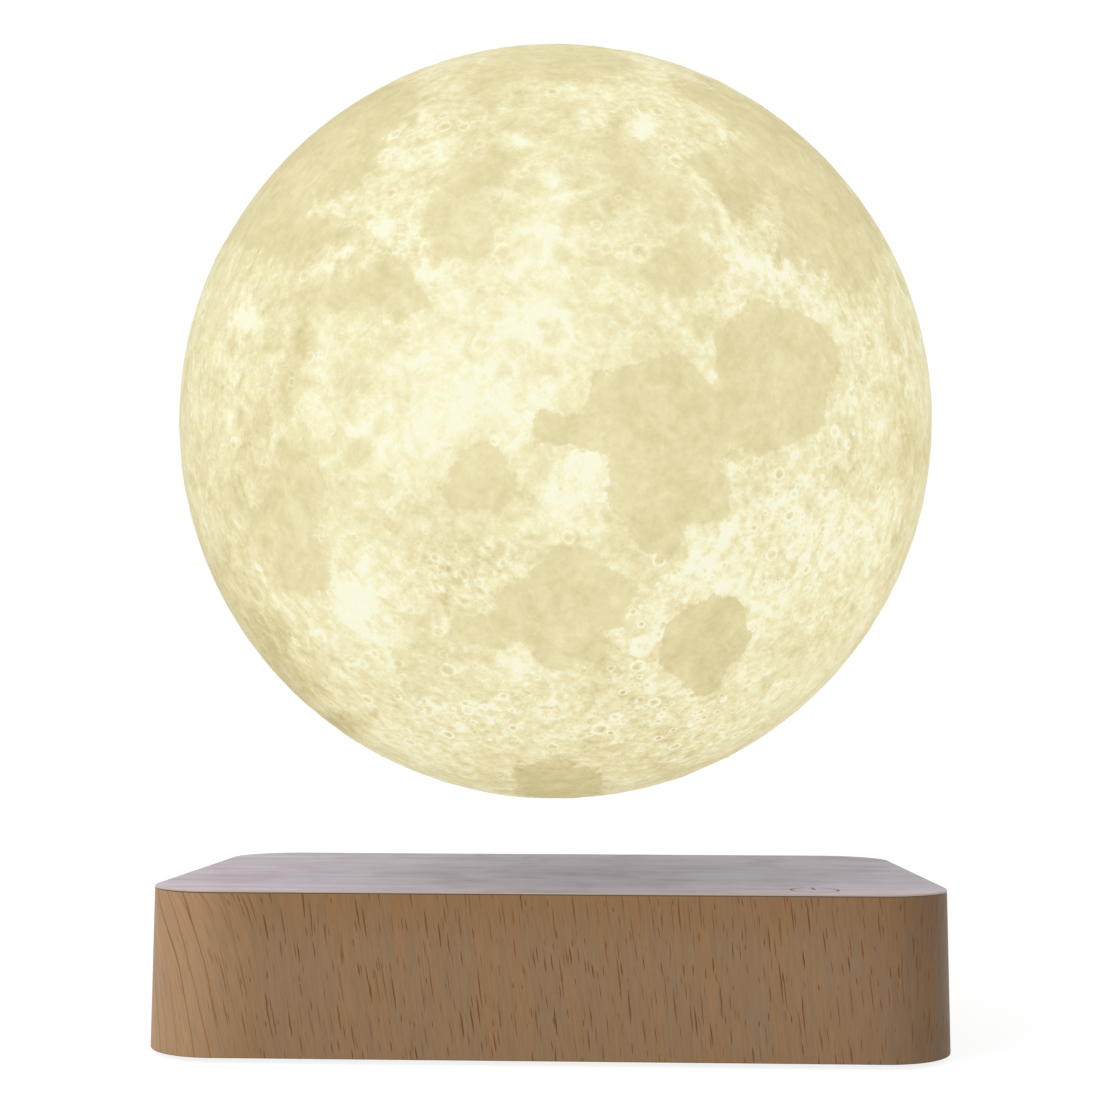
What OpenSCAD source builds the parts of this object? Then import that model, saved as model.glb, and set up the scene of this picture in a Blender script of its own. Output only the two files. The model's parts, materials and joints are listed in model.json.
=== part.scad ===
// Moon lamp: a glowing globe that hovers over a wooden block.
// Millimetres. The origin is the centre of the footprint, at the underside of the feet.
// +Z is up, -Y is the front and X runs along the block's width.

/* [Wooden block] */
// Width of the block, left to right
base_w = 160; // [144:1:220]
// Depth of the block, front to back
base_d = 100; // [90:1:140]
// Height of the block, without its feet
base_h = 32; // [31:0.5:45]
// Radius of the block's upright corners
corner_r = 15; // [12:0.5:20]
// Thickness of the core's side walls
wall_t = 5.4; // [4.4:0.1:6.4]
// Thickness of the core above the pocket
deck_t = 2.4; // [1.8:0.1:4]
// Thickness of the veneer on the top and the sides
veneer_t = 0.6; // [0.4:0.1:1]

/* [Bottom plate and feet] */
// Thickness of the bottom plate
plate_t = 3; // [2.6:0.1:4]
// Width of the wooden rim around the bottom plate
plate_rim = 2.4; // [1.6:0.1:3.4]
// Diameter of a rubber foot
foot_d = 12; // [8:0.5:16]
// Thickness of a rubber foot
foot_t = 2; // [1.6:0.1:3]
// How far the feet stand out below the block
foot_proud = 1; // [0.6:0.1:1.4]
// Number of vent slots in the bottom plate
vent_count = 7; // [3:2:9]
// Length of a vent slot
vent_l = 30; // [16:1:40]

/* [Globe] */
// Diameter of the globe
moon_d = 169; // [160:1:185]
// Wall thickness of the globe's shell
shell_t = 1.8; // [1.2:0.1:2.4]
// Diameter of the opening under the globe
opening_d = 80; // [78:1:88]
// Height at which the globe hovers over the block
hover_gap = 16; // [10:0.5:20]

/* [Levitation] */
// Outer diameter of the ring magnet in the block
ring_magnet_od = 74; // [66:1:83]
// Inner diameter of the ring magnet in the block
ring_magnet_id = 52; // [51:1:60]
// Thickness of the ring magnet in the block
ring_magnet_t = 12; // [8:0.5:14]
// Diameter of the magnet disc in the globe
float_magnet_d = 42; // [34:1:44]
// Thickness of the magnet disc in the globe
float_magnet_t = 10; // [6:0.5:14]
// Distance between the centres of neighbouring control coils
coil_pitch = 22; // [21:0.5:22.5]
// Outer diameter of a control winding
winding_d = 18; // [14:0.5:19]
// Diameter of the bobbin core that a control winding sits on
bobbin_core_d = 9; // [7:0.5:11]
// Length of the pins that carry the position-sensor board
sensor_pin_l = 7; // [4:0.5:7.5]

/* [Power transfer] */
// Outer diameter of the transmitter coil in the block
transmitter_od = 70; // [66:1:83]
// Inner diameter of the transmitter coil in the block
transmitter_id = 52; // [51:1:60]
// Outer diameter of the receiver coil in the globe
receiver_od = 63; // [58:1:63.5]
// Inner diameter of the receiver coil in the globe
receiver_id = 50; // [50:1:54]
// Thickness of both flat coils
power_coil_t = 2; // [1.2:0.1:2.2]
// Thickness of both ferrite sheets
ferrite_t = 0.6; // [0.4:0.1:0.8]

/* [Circuit boards] */
// Thickness of every circuit board
board_t = 1.6; // [1:0.1:2]
// Width of the power board, left to right
power_board_w = 26; // [24:1:28]
// Length of the power board, front to back
power_board_l = 56; // [54:1:58]
// Diameter of the driver board in the globe
driver_board_d = 60; // [56:1:62]
// Diameter of the light board in the globe
light_board_d = 56; // [54:1:62]
// Height of the lower standoffs in the globe
lower_standoff_l = 5; // [4.6:0.2:8]
// Height of the upper standoffs in the globe
upper_standoff_l = 14; // [12.5:0.5:30]
// Number of light diodes in the outer circle
light_count = 12; // [6:1:14]

/* [Power inlet] */
// Distance of the inlet from the block's right side
jack_inset = 24; // [23:0.5:27]
// Height of the inlet's axis above the block's bottom
jack_height = 15.5; // [13:0.5:18]
// Diameter of the inlet's centre pin
jack_pin_d = 2.1; // [1.7:0.1:2.5]
// Diameter of the socket around the centre pin
jack_socket_d = 6; // [5.6:0.1:6.4]
// Depth of the socket
jack_socket_depth = 10; // [8:0.5:11]
// Diameter of the inlet's barrel
jack_barrel_d = 8; // [7.6:0.1:8.6]
// Diameter of the inlet's flange
jack_flange_d = 11.4; // [10.4:0.2:14]

/* [Touch key] */
// Distance of the touch mark from the block's right side
touch_inset = 27; // [22:0.5:34]
// Distance of the touch mark from the block's front
touch_setback = 8.5; // [8:0.5:14]
// Diameter of the touch mark's ring
touch_ring_d = 9.9; // [8:0.1:12]
// Width of the touch mark's line
touch_line = 0.5; // [0.3:0.1:1]

/* [Hidden] */
$fn = 64;
// Fineness of the big spheres
globe_fn = 200;

// Clearances
seat_gap = 0.3;
slide_gap = 0.2;
glue_gap = 0.1;
thread_gap = 0.05;
cut = 1;

// Levels of the block
block_z = foot_proud;
top_z = block_z + base_h;
core_top_z = top_z - veneer_t;
roof_z = core_top_z - deck_t;
plate_top_z = block_z + plate_t;

// Plan of the core and its pocket
core_w = base_w - 2 * veneer_t;
core_d = base_d - 2 * veneer_t;
core_r = corner_r - veneer_t;
pocket_w = core_w - 2 * wall_t;
pocket_d = core_d - 2 * wall_t;
pocket_r = core_r - wall_t;
rebate_w = core_w - 2 * plate_rim;
rebate_d = core_d - 2 * plate_rim;
rebate_r = core_r - plate_rim;

// Corner columns, which the plate screws go into
column_r = 5.5;
column_inset = 4.5;
column_x = pocket_w / 2 - column_inset;
column_y = pocket_d / 2 - column_inset;

// Screws with pan heads, one size in the block and one in the globe
screw_r = 1.4;
screw_head_r = 2.7;
screw_head_h = 1.6;
screw_l = 10;
screw_tip_gap = 1;
screw_cover = 0.1;
plate_seat_h = screw_head_h + screw_cover;
small_screw_r = 1.25;
small_screw_head_r = 2.2;
small_screw_head_h = 1.5;
slot_w = 0.7;

// Feet and vents
foot_inset_x = 26;
foot_inset_y = 14;
foot_x = base_w / 2 - foot_inset_x;
foot_y = base_d / 2 - foot_inset_y;
vent_w = 2.4;
vent_pitch = 6;

// Levitation stack, from the pocket's roof down
tray_t = 1.2;
tray_rim = 1.2;
frame_t = 1.5;
frame_wall = 1.5;
ear_t = 2.5;
spacer_l = 2;
coil_z = roof_z - slide_gap - power_coil_t;
ferrite_z = coil_z - ferrite_t;
tray_z = ferrite_z - tray_t;
magnet_z = tray_z - ring_magnet_t;
frame_z = magnet_z - frame_t;
board_top_z = frame_z - spacer_l;
board_z = board_top_z - board_t;

// Plan of the levitation stack
frame_r = ring_magnet_od / 2 + seat_gap + frame_wall;
tray_r = transmitter_od / 2 + seat_gap + tray_rim;
boss_r = 4.2;
boss_gap = 0.5;
ear_at = (max(frame_r, tray_r) + boss_gap + boss_r) / sqrt(2);
board_margin = 0.8;
control_board_w = 2 * (ear_at + boss_r + board_margin);
spacer_r = 3.2;
web_w = 5;
tray_notch_w = 6;

// Control coils
flange_t = 1.2;
flange_over = 0.5;
bobbin_wall = 1;
bobbin_top_gap = 0.8;
bobbin_r = winding_d / 2 + flange_over;
bobbin_h = magnet_z + ring_magnet_t - board_top_z - bobbin_top_gap;
winding_h = bobbin_h - 2 * flange_t;
centre_r = coil_pitch / sqrt(2) + bobbin_r + seat_gap;

// Position-sensor board, between the control coils
sensor_board_w = 8;
sensor_board_t = 1.2;
sensor_pin_at = 3;
sensor_pin_r = 0.35;
sensor_w = 3;
sensor_l = 1.6;
sensor_t = 1.2;
sensor_pitch = 2.4;

// Chips: square ones, small ones and the thickness of both
large_chip_w = 7;
small_chip_w = 5;
small_chip_l = 4;
chip_t = 1.4;

// Places of the chips under the control board
controller_w = 9;
amplifier_x = 14;
amplifier_w = 6;
amplifier_l = 8.7;
coil_driver_x = 12;
coil_driver_y = 20;

// Power board, right of the levitation stack, level with the control board
power_wall_gap = 2.5;
power_x = pocket_w / 2 - power_wall_gap - power_board_w / 2;
power_hole_inset = 3.4;
power_hole_x = power_board_w / 2 - power_hole_inset;
power_hole_y = power_board_l / 2 - power_hole_inset;
socket_w = 6;
socket_l = 4.4;
socket_h = 6;
socket_top_z = board_top_z + socket_h;
socket_inset = 4.4;
coil_socket_inset = 5;
jack_socket_y = power_board_l / 2 - socket_inset;
touch_socket_y = -jack_socket_y;
coil_socket_x = coil_socket_inset - power_board_w / 2;
capacitor_r = 4;
capacitor_h = 12;
capacitor_x = 7;
capacitor_y = -14.5;
capacitor_pitch = 9.5;
inductor_r = 6;
inductor_h = 7;
inductor_x = -4.5;
inductor_y = -12;
inductor_disc_t = 1.2;
inductor_disc_over = 0.8;
power_chip_x = 6;
power_chip_y = 14;
gate_chip_x = -9;
gate_chip_y = 8;
transformer_w = 13;
transformer_l = 5;
transformer_h = 9;
transformer_at = 5;

// Wires that bridge the two boards
link_count = 4;
link_pitch = 2;
link_y = 15;
link_inset = 1.2;

// Power inlet, in from the block's rear face
jack_x = base_w / 2 - jack_inset;
jack_z = block_z + jack_height;
jack_flange_t = 1.2;
jack_panel_t = 3;
jack_back_t = 3;
jack_barrel_l = jack_socket_depth + jack_back_t;
jack_nut_t = 2.5;
jack_nut_af = 11;
jack_recess_r = 9;
jack_pin_tip = 0.8;
jack_pin_tail = 1;
jack_tail_r = 0.7;
jack_tail_l = jack_flange_t + jack_barrel_l + jack_pin_tail - jack_socket_depth / 2;
jack_back_y = base_d / 2 - jack_flange_t;
jack_end_y = jack_back_y - jack_barrel_l;
jack_nut_y = jack_back_y - jack_panel_t;
jack_lug_l = 4.4;
jack_lug_w = 2.4;
jack_lug_t = 0.6;
jack_lug_at = 2.2;

// Touch key
touch_x = base_w / 2 - touch_inset;
touch_y = touch_setback - base_d / 2;
touch_mark_t = 0.3;
touch_pad_r = 4.6;
touch_pad_t = 0.5;
touch_well_r = 5.2;
touch_well_h = 12;

// Leads
lead_r = 0.6;
lead_steps = 12;
lead_sides = 8;
jack_lead_at = 1.4;
coil_lead_at = 1.5;
receiver_lead_y = 1.3;
light_lead_y = 4.5;
touch_lead_offset = 2;
// How far the leads aim straight on before they bend
touch_lead_drop = 7;
touch_lead_in = 5;
jack_lead_out = 2;
jack_lead_in = 8;
coil_lead_in = 9;
receiver_lead_up = 4;
light_lead_up = 5;
// Share of its two equal end vectors that a curve rises by in its middle
curve_share = 0.75;
link_rise = (spacer_l - seat_gap - lead_r) / curve_share;

// Globe
moon_r = moon_d / 2;
moon_z = top_z + hover_gap + moon_r;
shell_r = moon_r - shell_t;
opening_r = opening_d / 2;
cap_r = opening_r - seat_gap;
// Height at which a sphere about the globe's centre passes through a radius, low side
function low_z(sphere_r, at_r) = moon_z - sqrt(sphere_r * sphere_r - at_r * at_r);

// Fixing of the cap
post_r = 3;
post_edge = 0.5;
post_at = cap_r - post_r - post_edge;
ring_t = 4.4;
ring_w = 15;
ring_over = 0.6;
ring_z = low_z(shell_r, opening_r) + seat_gap;
ring_in_r = post_at - post_r - ring_over;
cap_sink = 3;
cap_bearing_z = low_z(moon_r, post_at) + cap_sink;
blind_t = 0.8;
cap_thread_l = ring_t - blind_t;
cap_screw_l = ring_z - cap_bearing_z + cap_thread_l - seat_gap;

// Magnet cup, lid and what stands on them
cup_wall = 1.5;
cup_floor = 1.2;
cup_r = float_magnet_d / 2 + seat_gap + cup_wall;
cup_z = low_z(shell_r, cup_r) + slide_gap;
seat_r = 17.5;
seat_w = 2.5;
float_magnet_z = cup_z + cup_floor + seat_gap;
lid_z = float_magnet_z + float_magnet_t + seat_gap;
lid_t = 1.5;
cup_flange_r = receiver_od / 2 + seat_gap;
cup_flange_t = 1.2;
cup_flange_z = low_z(shell_r, cup_flange_r) + seat_gap;
receiver_z = cup_flange_z + cup_flange_t;
receiver_ferrite_z = receiver_z + power_coil_t;
receiver_notch_w = 5;
receiver_notch_at = 1;
receiver_coil_end = receiver_od / 2 - 2 * receiver_notch_at;

// Boards in the globe
standoff_at = 15;
standoff_r = 2.6;
thread_depth = 3.6;
light_screw_l = board_t + thread_depth - seat_gap;
stud_over = 2;
stud_l = board_t + stud_over;
lid_stud_l = 1.2;
driver_z = lid_z + lid_t + lower_standoff_l;
light_z = driver_z + board_t + upper_standoff_l;
receiver_lead_inset = 1.6;
light_lead_inset = 8;
diode_inset = 3.6;
receiver_lead_at = driver_board_d / 2 - receiver_lead_inset;
light_lead_at = light_board_d / 2 - light_lead_inset;
diode_w = 5;
diode_h = 1.5;
diode_ring_r = light_board_d / 2 - diode_inset;
inner_diode_r = 8;
driver_coil_w = 10;
driver_coil_h = 4;
driver_part_at = 15;

// ---------------------------------------------------------------- shared shapes

// Upright block, centred on the Z axis, with rounded corners
module rounded_block(w, d, h, r) {
    translate([-w / 2 + r, -d / 2, 0]) cube([w - 2 * r, d, h]);
    translate([-w / 2, -d / 2 + r, 0]) cube([w, d - 2 * r, h]);
    four(w / 2 - r, d / 2 - r) cylinder(r = r, h = h);
}

// Ring with a square section
module band(out_r, in_r, h) {
    difference() {
        cylinder(r = out_r, h = h);
        translate([0, 0, -cut]) cylinder(r = in_r, h = h + 2 * cut);
    }
}

// A copy in each of the four quadrants
module four(x, y) {
    for (sx = [-1, 1], sy = [-1, 1]) {
        translate([sx * x, sy * y, 0]) children();
    }
}

// Four copies about the Z axis
module quarter_turns() {
    for (turn = [0 : 3]) {
        rotate([0, 0, 90 * turn]) children();
    }
}

// A copy on each side of the Z axis, along X
module half_turns() {
    for (turn = [0, 180]) {
        rotate([0, 0, turn]) children();
    }
}

// Places a shape modelled along +Z so that it runs from the rear face into the block
module into_rear(y) {
    translate([jack_x, y, jack_z]) rotate([90, 0, 0]) children();
}

// Pan-head screw: the head hangs below z = 0 and the shank stands above it
module screw(head_r, head_h, shank_r, shank_l) {
    cross_l = 1.3 * head_r;
    difference() {
        union() {
            translate([0, 0, -head_h]) cylinder(r = head_r, h = head_h);
            translate([0, 0, -head_h / 2]) cylinder(r = shank_r, h = shank_l + head_h / 2);
        }
        for (turn = [0, 90]) {
            rotate([0, 0, turn])
                translate([-cross_l / 2, -slot_w / 2, -head_h - cut])
                    cube([cross_l, slot_w, cut + head_h / 2]);
        }
    }
}

function unit(v) = v / norm(v);

// Point at t = 0..1 on the curve with the four control points a, b, c and d
function curve(a, b, c, d, t) =
    pow(1 - t, 3) * a + 3 * pow(1 - t, 2) * t * b + 3 * (1 - t) * t * t * c + pow(t, 3) * d;

// Round lead from start, which it leaves along the vector leave, to end, where the vector
// arrive brings it in. side is any direction that the lead never runs along.
module lead(start, leave, end, arrive, side) {
    path = [for (i = [0 : lead_steps]) curve(start, start + leave, end - arrive, end, i / lead_steps)];
    points = [
        for (i = [0 : lead_steps])
            let (
                along = i == 0 ? unit(leave)
                    : i == lead_steps ? unit(arrive)
                    : unit(path[i + 1] - path[i - 1]),
                across = unit(side - (side * along) * along),
                third = cross(along, across)
            )
            for (k = [0 : lead_sides - 1])
                let (turn = 360 * k / lead_sides)
                path[i] + lead_r * (cos(turn) * across + sin(turn) * third)
    ];
    walls = [
        for (i = [0 : lead_steps - 1], k = [0 : lead_sides - 1])
            let (
                a = i * lead_sides + k,
                b = i * lead_sides + (k + 1) % lead_sides
            )
            each [[a, a + lead_sides, b + lead_sides], [a, b + lead_sides, b]]
    ];
    last = lead_steps * lead_sides;
    ends = [
        for (k = [1 : lead_sides - 2])
            each [[0, k, k + 1], [last, last + k + 1, last + k]]
    ];
    polyhedron(points = points, faces = concat(walls, ends));
}

// ---------------------------------------------------------------- wooden block

// Hollow core, open at the bottom, with columns and bosses for the screws
module wood_core() {
    color("burlywood")
    difference() {
        union() {
            difference() {
                translate([0, 0, block_z]) rounded_block(core_w, core_d, base_h - veneer_t, core_r);
                translate([0, 0, block_z - cut])
                    rounded_block(pocket_w, pocket_d, roof_z - block_z + cut, pocket_r);
                translate([0, 0, block_z - cut]) rounded_block(rebate_w, rebate_d, plate_t + cut, rebate_r);
            }
            four(column_x, column_y) upright(column_r, plate_top_z);
            four(ear_at, ear_at) upright(boss_r, frame_z + ear_t);
            translate([power_x, 0, 0]) four(power_hole_x, power_hole_y) upright(spacer_r, board_top_z);
        }
        four(column_x, column_y) screw_bore(plate_top_z, screw_l);
        four(ear_at, ear_at) screw_bore(frame_z + ear_t, screw_l);
        translate([power_x, 0, 0]) four(power_hole_x, power_hole_y) screw_bore(board_top_z, screw_l);
        jack_cuts();
        into_rear(jack_nut_y) cylinder(r = jack_recess_r, h = wall_t + column_r);
        translate([touch_x, touch_y, roof_z - touch_well_h])
            cylinder(r = touch_well_r, h = touch_well_h);
    }
}

// Post from a level up into the deck
module upright(r, from_z) {
    translate([0, 0, from_z]) cylinder(r = r, h = roof_z + deck_t / 2 - from_z);
}

// Blind bore for a screw's shank, upwards from a level
module screw_bore(from_z, l) {
    translate([0, 0, from_z - cut]) cylinder(r = screw_r + thread_gap, h = l + cut);
}

// Holes that the inlet's flange and barrel need in the core and the veneer
module jack_cuts() {
    into_rear(base_d / 2 + cut) cylinder(r = jack_flange_d / 2 + glue_gap, h = jack_flange_t + cut);
    into_rear(base_d / 2 + cut) cylinder(r = jack_barrel_d / 2 + glue_gap, h = wall_t + veneer_t + 2 * cut);
}

// Veneer sheet on top, with the touch mark let into it
module top_veneer() {
    color([0.72, 0.66, 0.61])
    difference() {
        translate([0, 0, core_top_z]) rounded_block(base_w, base_d, veneer_t, corner_r);
        translate([touch_x, touch_y, top_z - touch_mark_t]) mark_shape(touch_mark_t + cut);
    }
}

// Veneer band around the sides
module side_veneer() {
    color([0.68, 0.53, 0.42])
    difference() {
        translate([0, 0, block_z]) rounded_block(base_w, base_d, base_h - veneer_t, corner_r);
        translate([0, 0, block_z - cut]) rounded_block(core_w, core_d, base_h + cut, core_r);
        jack_cuts();
    }
}

// Bottom plate in its rebate, with vents, seats for the feet and sunk screw heads
module bottom_plate() {
    color([0.13, 0.13, 0.14])
    translate([0, 0, block_z])
    difference() {
        rounded_block(
            rebate_w - 2 * slide_gap, rebate_d - 2 * slide_gap, plate_t, rebate_r - slide_gap
        );
        four(foot_x, foot_y)
            translate([0, 0, -cut]) cylinder(r = foot_d / 2 + slide_gap, h = foot_t - foot_proud + cut);
        four(column_x, column_y) {
            translate([0, 0, -cut]) cylinder(r = screw_r + slide_gap, h = plate_t + 2 * cut);
            translate([0, 0, -cut]) cylinder(r = screw_head_r + slide_gap, h = plate_seat_h + cut);
        }
        for (i = [0 : vent_count - 1]) {
            translate([vent_pitch * (i - (vent_count - 1) / 2), 0, -cut]) vent_slot(plate_t + 2 * cut);
        }
    }
}

// Slot with round ends, along Y
module vent_slot(h) {
    straight = vent_l - vent_w;
    translate([-vent_w / 2, -straight / 2, 0]) cube([vent_w, straight, h]);
    for (s = [-1, 1]) {
        translate([0, s * straight / 2, 0]) cylinder(r = vent_w / 2, h = h);
    }
}

module plate_screws() {
    color("silver")
    four(column_x, column_y)
        translate([0, 0, block_z + plate_seat_h])
            screw(screw_head_r, screw_head_h, screw_r, screw_l);
}

// Rubber foot; quadrants count from the front left, clockwise seen from above
module foot(sx, sy) {
    color([0.10, 0.10, 0.10])
    translate([sx * foot_x, sy * foot_y, 0]) cylinder(r = foot_d / 2, h = foot_t);
}

module foot_1() { foot(-1, -1); }
module foot_2() { foot(-1, 1); }
module foot_3() { foot(1, 1); }
module foot_4() { foot(1, -1); }

// ---------------------------------------------------------------- touch key

// Ring that is open at the back, with a short bar in the gap
module mark_shape(h) {
    ring_r = touch_ring_d / 2;
    gap_w = touch_ring_d / 4;
    bar_l = touch_ring_d / 2;
    difference() {
        band(ring_r, ring_r - touch_line, h);
        translate([-gap_w / 2, 0, -cut]) cube([gap_w, ring_r + cut, h + 2 * cut]);
    }
    translate([-touch_line / 2, ring_r - bar_l, 0]) cube([touch_line, bar_l, h]);
}

module touch_mark() {
    color([0.25, 0.22, 0.20])
    translate([touch_x, touch_y, top_z - touch_mark_t]) mark_shape(touch_mark_t);
}

// Copper disc stuck under the deck, below the mark
module touch_pad() {
    color([0.80, 0.50, 0.30])
    translate([touch_x, touch_y, roof_z - touch_pad_t]) cylinder(r = touch_pad_r, h = touch_pad_t);
}

module touch_lead() {
    color("white")
    lead(
        [touch_x, touch_y + touch_lead_offset, roof_z - touch_pad_t], [0, 0, -touch_lead_drop],
        [power_x, touch_socket_y, socket_top_z], [0, 0, -touch_lead_in],
        [1, 0.3, 0]
    );
}

// ---------------------------------------------------------------- power inlet

// Flanged barrel with the socket in it and a solid back
module jack_body() {
    color([0.08, 0.08, 0.08])
    difference() {
        union() {
            into_rear(base_d / 2) cylinder(r = jack_flange_d / 2, h = jack_flange_t);
            into_rear(base_d / 2 - jack_flange_t / 2)
                cylinder(r = jack_barrel_d / 2, h = jack_barrel_l + jack_flange_t / 2);
        }
        into_rear(base_d / 2 + cut) cylinder(r = jack_socket_d / 2, h = jack_socket_depth + cut);
        into_rear(base_d / 2) cylinder(r = jack_tail_r + thread_gap, h = jack_flange_t + jack_barrel_l + cut);
    }
}

// Centre pin: it stands on the socket's floor and its thinner tail comes out of the back
module jack_pin() {
    color("gold") {
        into_rear(base_d / 2 - jack_pin_tip)
            cylinder(r = jack_pin_d / 2, h = jack_socket_depth - jack_pin_tip);
        into_rear(base_d / 2 - jack_socket_depth / 2)
            cylinder(r = jack_tail_r, h = jack_tail_l);
    }
}

// Hexagon nut behind the panel
module jack_nut() {
    color("silver")
    into_rear(jack_nut_y)
    difference() {
        cylinder(r = jack_nut_af / sqrt(3), h = jack_nut_t, $fn = 6);
        translate([0, 0, -cut]) cylinder(r = jack_barrel_d / 2 + thread_gap, h = jack_nut_t + 2 * cut);
    }
}

// Two flat lugs on the barrel's back
module jack_terminals() {
    color("silver")
    for (s = [-1, 1]) {
        translate([jack_x + s * jack_lug_at, jack_end_y - jack_lug_l, jack_z])
            translate([-jack_lug_t / 2, 0, -jack_lug_w / 2]) cube([jack_lug_t, jack_lug_l, jack_lug_w]);
    }
}

module jack_leads() {
    color("red")
    for (s = [-1, 1]) {
        lead(
            [jack_x + s * jack_lug_at, jack_end_y - jack_lug_l, jack_z], [0, -jack_lead_out, 0],
            [power_x + s * jack_lead_at, jack_socket_y, socket_top_z], [0, 0, -jack_lead_in],
            [1, 0, 0]
        );
    }
}

// ---------------------------------------------------------------- levitation module

// Tray that holds the ring magnet, with four ears on spacers
module module_frame() {
    rim_h = frame_t + ring_magnet_t / 2;
    color([0.20, 0.20, 0.22])
    difference() {
        union() {
            translate([0, 0, frame_z]) band(frame_r, centre_r, frame_t);
            translate([0, 0, frame_z]) band(frame_r, frame_r - frame_wall, rim_h);
            four(ear_at, ear_at) {
                translate([0, 0, frame_z]) cylinder(r = boss_r, h = ear_t);
                translate([0, 0, board_top_z]) cylinder(r = spacer_r, h = spacer_l + ear_t / 2);
            }
            quarter_turns() rotate([0, 0, 45]) ear_web();
        }
        four(ear_at, ear_at)
            translate([0, 0, board_top_z - cut])
                cylinder(r = screw_r + slide_gap, h = spacer_l + ear_t + 2 * cut);
    }
}

// Web from the tray's rim to an ear
module ear_web() {
    web_from = frame_r - frame_wall / 2;
    web_to = ear_at * sqrt(2) - screw_r - 2 * slide_gap;
    translate([web_from, -web_w / 2, frame_z]) cube([web_to - web_from, web_w, ear_t]);
}

module ring_magnet() {
    color([0.25, 0.25, 0.27])
    translate([0, 0, magnet_z]) band(ring_magnet_od / 2, ring_magnet_id / 2, ring_magnet_t);
}

// Tray on the ring magnet, with a rim around the transmitter coil
module coil_tray() {
    color([0.16, 0.16, 0.18])
    difference() {
        union() {
            translate([0, 0, tray_z]) band(tray_r, centre_r, tray_t);
            translate([0, 0, tray_z]) band(tray_r, tray_r - tray_rim, roof_z - tray_z);
        }
        translate([tray_r - tray_rim - cut, -tray_notch_w / 2, tray_z + tray_t])
            cube([tray_rim + 2 * cut, tray_notch_w, roof_z]);
    }
}

module transmitter_ferrite() {
    color([0.18, 0.18, 0.20])
    translate([0, 0, ferrite_z]) band(transmitter_od / 2, transmitter_id / 2, ferrite_t);
}

module transmitter_coil() {
    color([0.78, 0.42, 0.22])
    translate([0, 0, coil_z]) band(transmitter_od / 2, transmitter_id / 2, power_coil_t);
}

module transmitter_leads() {
    reach = power_x + coil_socket_x - transmitter_od / 2;
    color([0.78, 0.42, 0.22])
    for (s = [-1, 1]) {
        lead(
            [transmitter_od / 2, s * coil_lead_at, coil_z + power_coil_t / 2], [0.9 * reach, 0, 0],
            [power_x + coil_socket_x, s * coil_lead_at, socket_top_z], [0, 0, -coil_lead_in],
            [0, 1, 0]
        );
    }
}

// Control board under the frame, with the coils on it
module control_board() {
    color([0.05, 0.30, 0.16])
    translate([0, 0, board_z])
    difference() {
        rounded_block(control_board_w, control_board_w, board_t, boss_r);
        four(ear_at, ear_at)
            translate([0, 0, -cut]) cylinder(r = screw_r + slide_gap, h = board_t + 2 * cut);
    }
}

// Chips on the control board's underside: a controller, two amplifiers and four coil drivers
module control_chips() {
    color([0.07, 0.07, 0.08]) {
        hanging_chip([0, 0, board_z], [controller_w, controller_w, chip_t]);
        for (s = [-1, 1]) {
            hanging_chip([s * amplifier_x, 0, board_z], [amplifier_w, amplifier_l, chip_t]);
        }
        four(coil_driver_x, coil_driver_y)
            hanging_chip([0, 0, board_z], [small_chip_w, small_chip_l, chip_t]);
    }
}

// Chip that hangs under a level
module hanging_chip(at, size) {
    translate([at[0] - size[0] / 2, at[1] - size[1] / 2, at[2] - size[2]]) cube(size);
}

// Chip that stands on a level
module standing_chip(at, size) {
    translate([at[0] - size[0] / 2, at[1] - size[1] / 2, at[2]]) cube(size);
}

// Bobbin that stands on the control board; sx and sy pick its quadrant
module control_bobbin(sx, sy) {
    color([0.85, 0.85, 0.80])
    translate([sx * coil_pitch / 2, sy * coil_pitch / 2, board_top_z])
    difference() {
        union() {
            cylinder(r = bobbin_core_d / 2, h = bobbin_h);
            cylinder(r = bobbin_r, h = flange_t);
            translate([0, 0, bobbin_h - flange_t]) cylinder(r = bobbin_r, h = flange_t);
        }
        translate([0, 0, -cut]) cylinder(r = bobbin_core_d / 2 - bobbin_wall, h = bobbin_h + 2 * cut);
    }
}

module control_bobbin_1() { control_bobbin(-1, -1); }
module control_bobbin_2() { control_bobbin(-1, 1); }
module control_bobbin_3() { control_bobbin(1, 1); }
module control_bobbin_4() { control_bobbin(1, -1); }

// Winding between the two flanges of a bobbin
module control_winding(sx, sy) {
    color([0.78, 0.42, 0.22])
    translate([sx * coil_pitch / 2, sy * coil_pitch / 2, board_top_z + flange_t])
        band(winding_d / 2, bobbin_core_d / 2 + thread_gap, winding_h);
}

module control_winding_1() { control_winding(-1, -1); }
module control_winding_2() { control_winding(-1, 1); }
module control_winding_3() { control_winding(1, 1); }
module control_winding_4() { control_winding(1, -1); }

// Small board on pins in the middle of the four control coils
module sensor_board() {
    color([0.05, 0.30, 0.16])
    translate([-sensor_board_w / 2, -sensor_board_w / 2, board_top_z + sensor_pin_l])
        cube([sensor_board_w, sensor_board_w, sensor_board_t]);
}

module position_sensors() {
    color([0.07, 0.07, 0.08]) {
        level = board_top_z + sensor_pin_l + sensor_board_t;
        for (i = [-1 : 1]) {
            standing_chip([0, i * sensor_pitch, level], [sensor_w, sensor_l, sensor_t]);
        }
    }
}

module sensor_pins() {
    color("gold")
    four(sensor_pin_at, sensor_pin_at)
        translate([0, 0, board_top_z]) cylinder(r = sensor_pin_r, h = sensor_pin_l);
}

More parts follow.
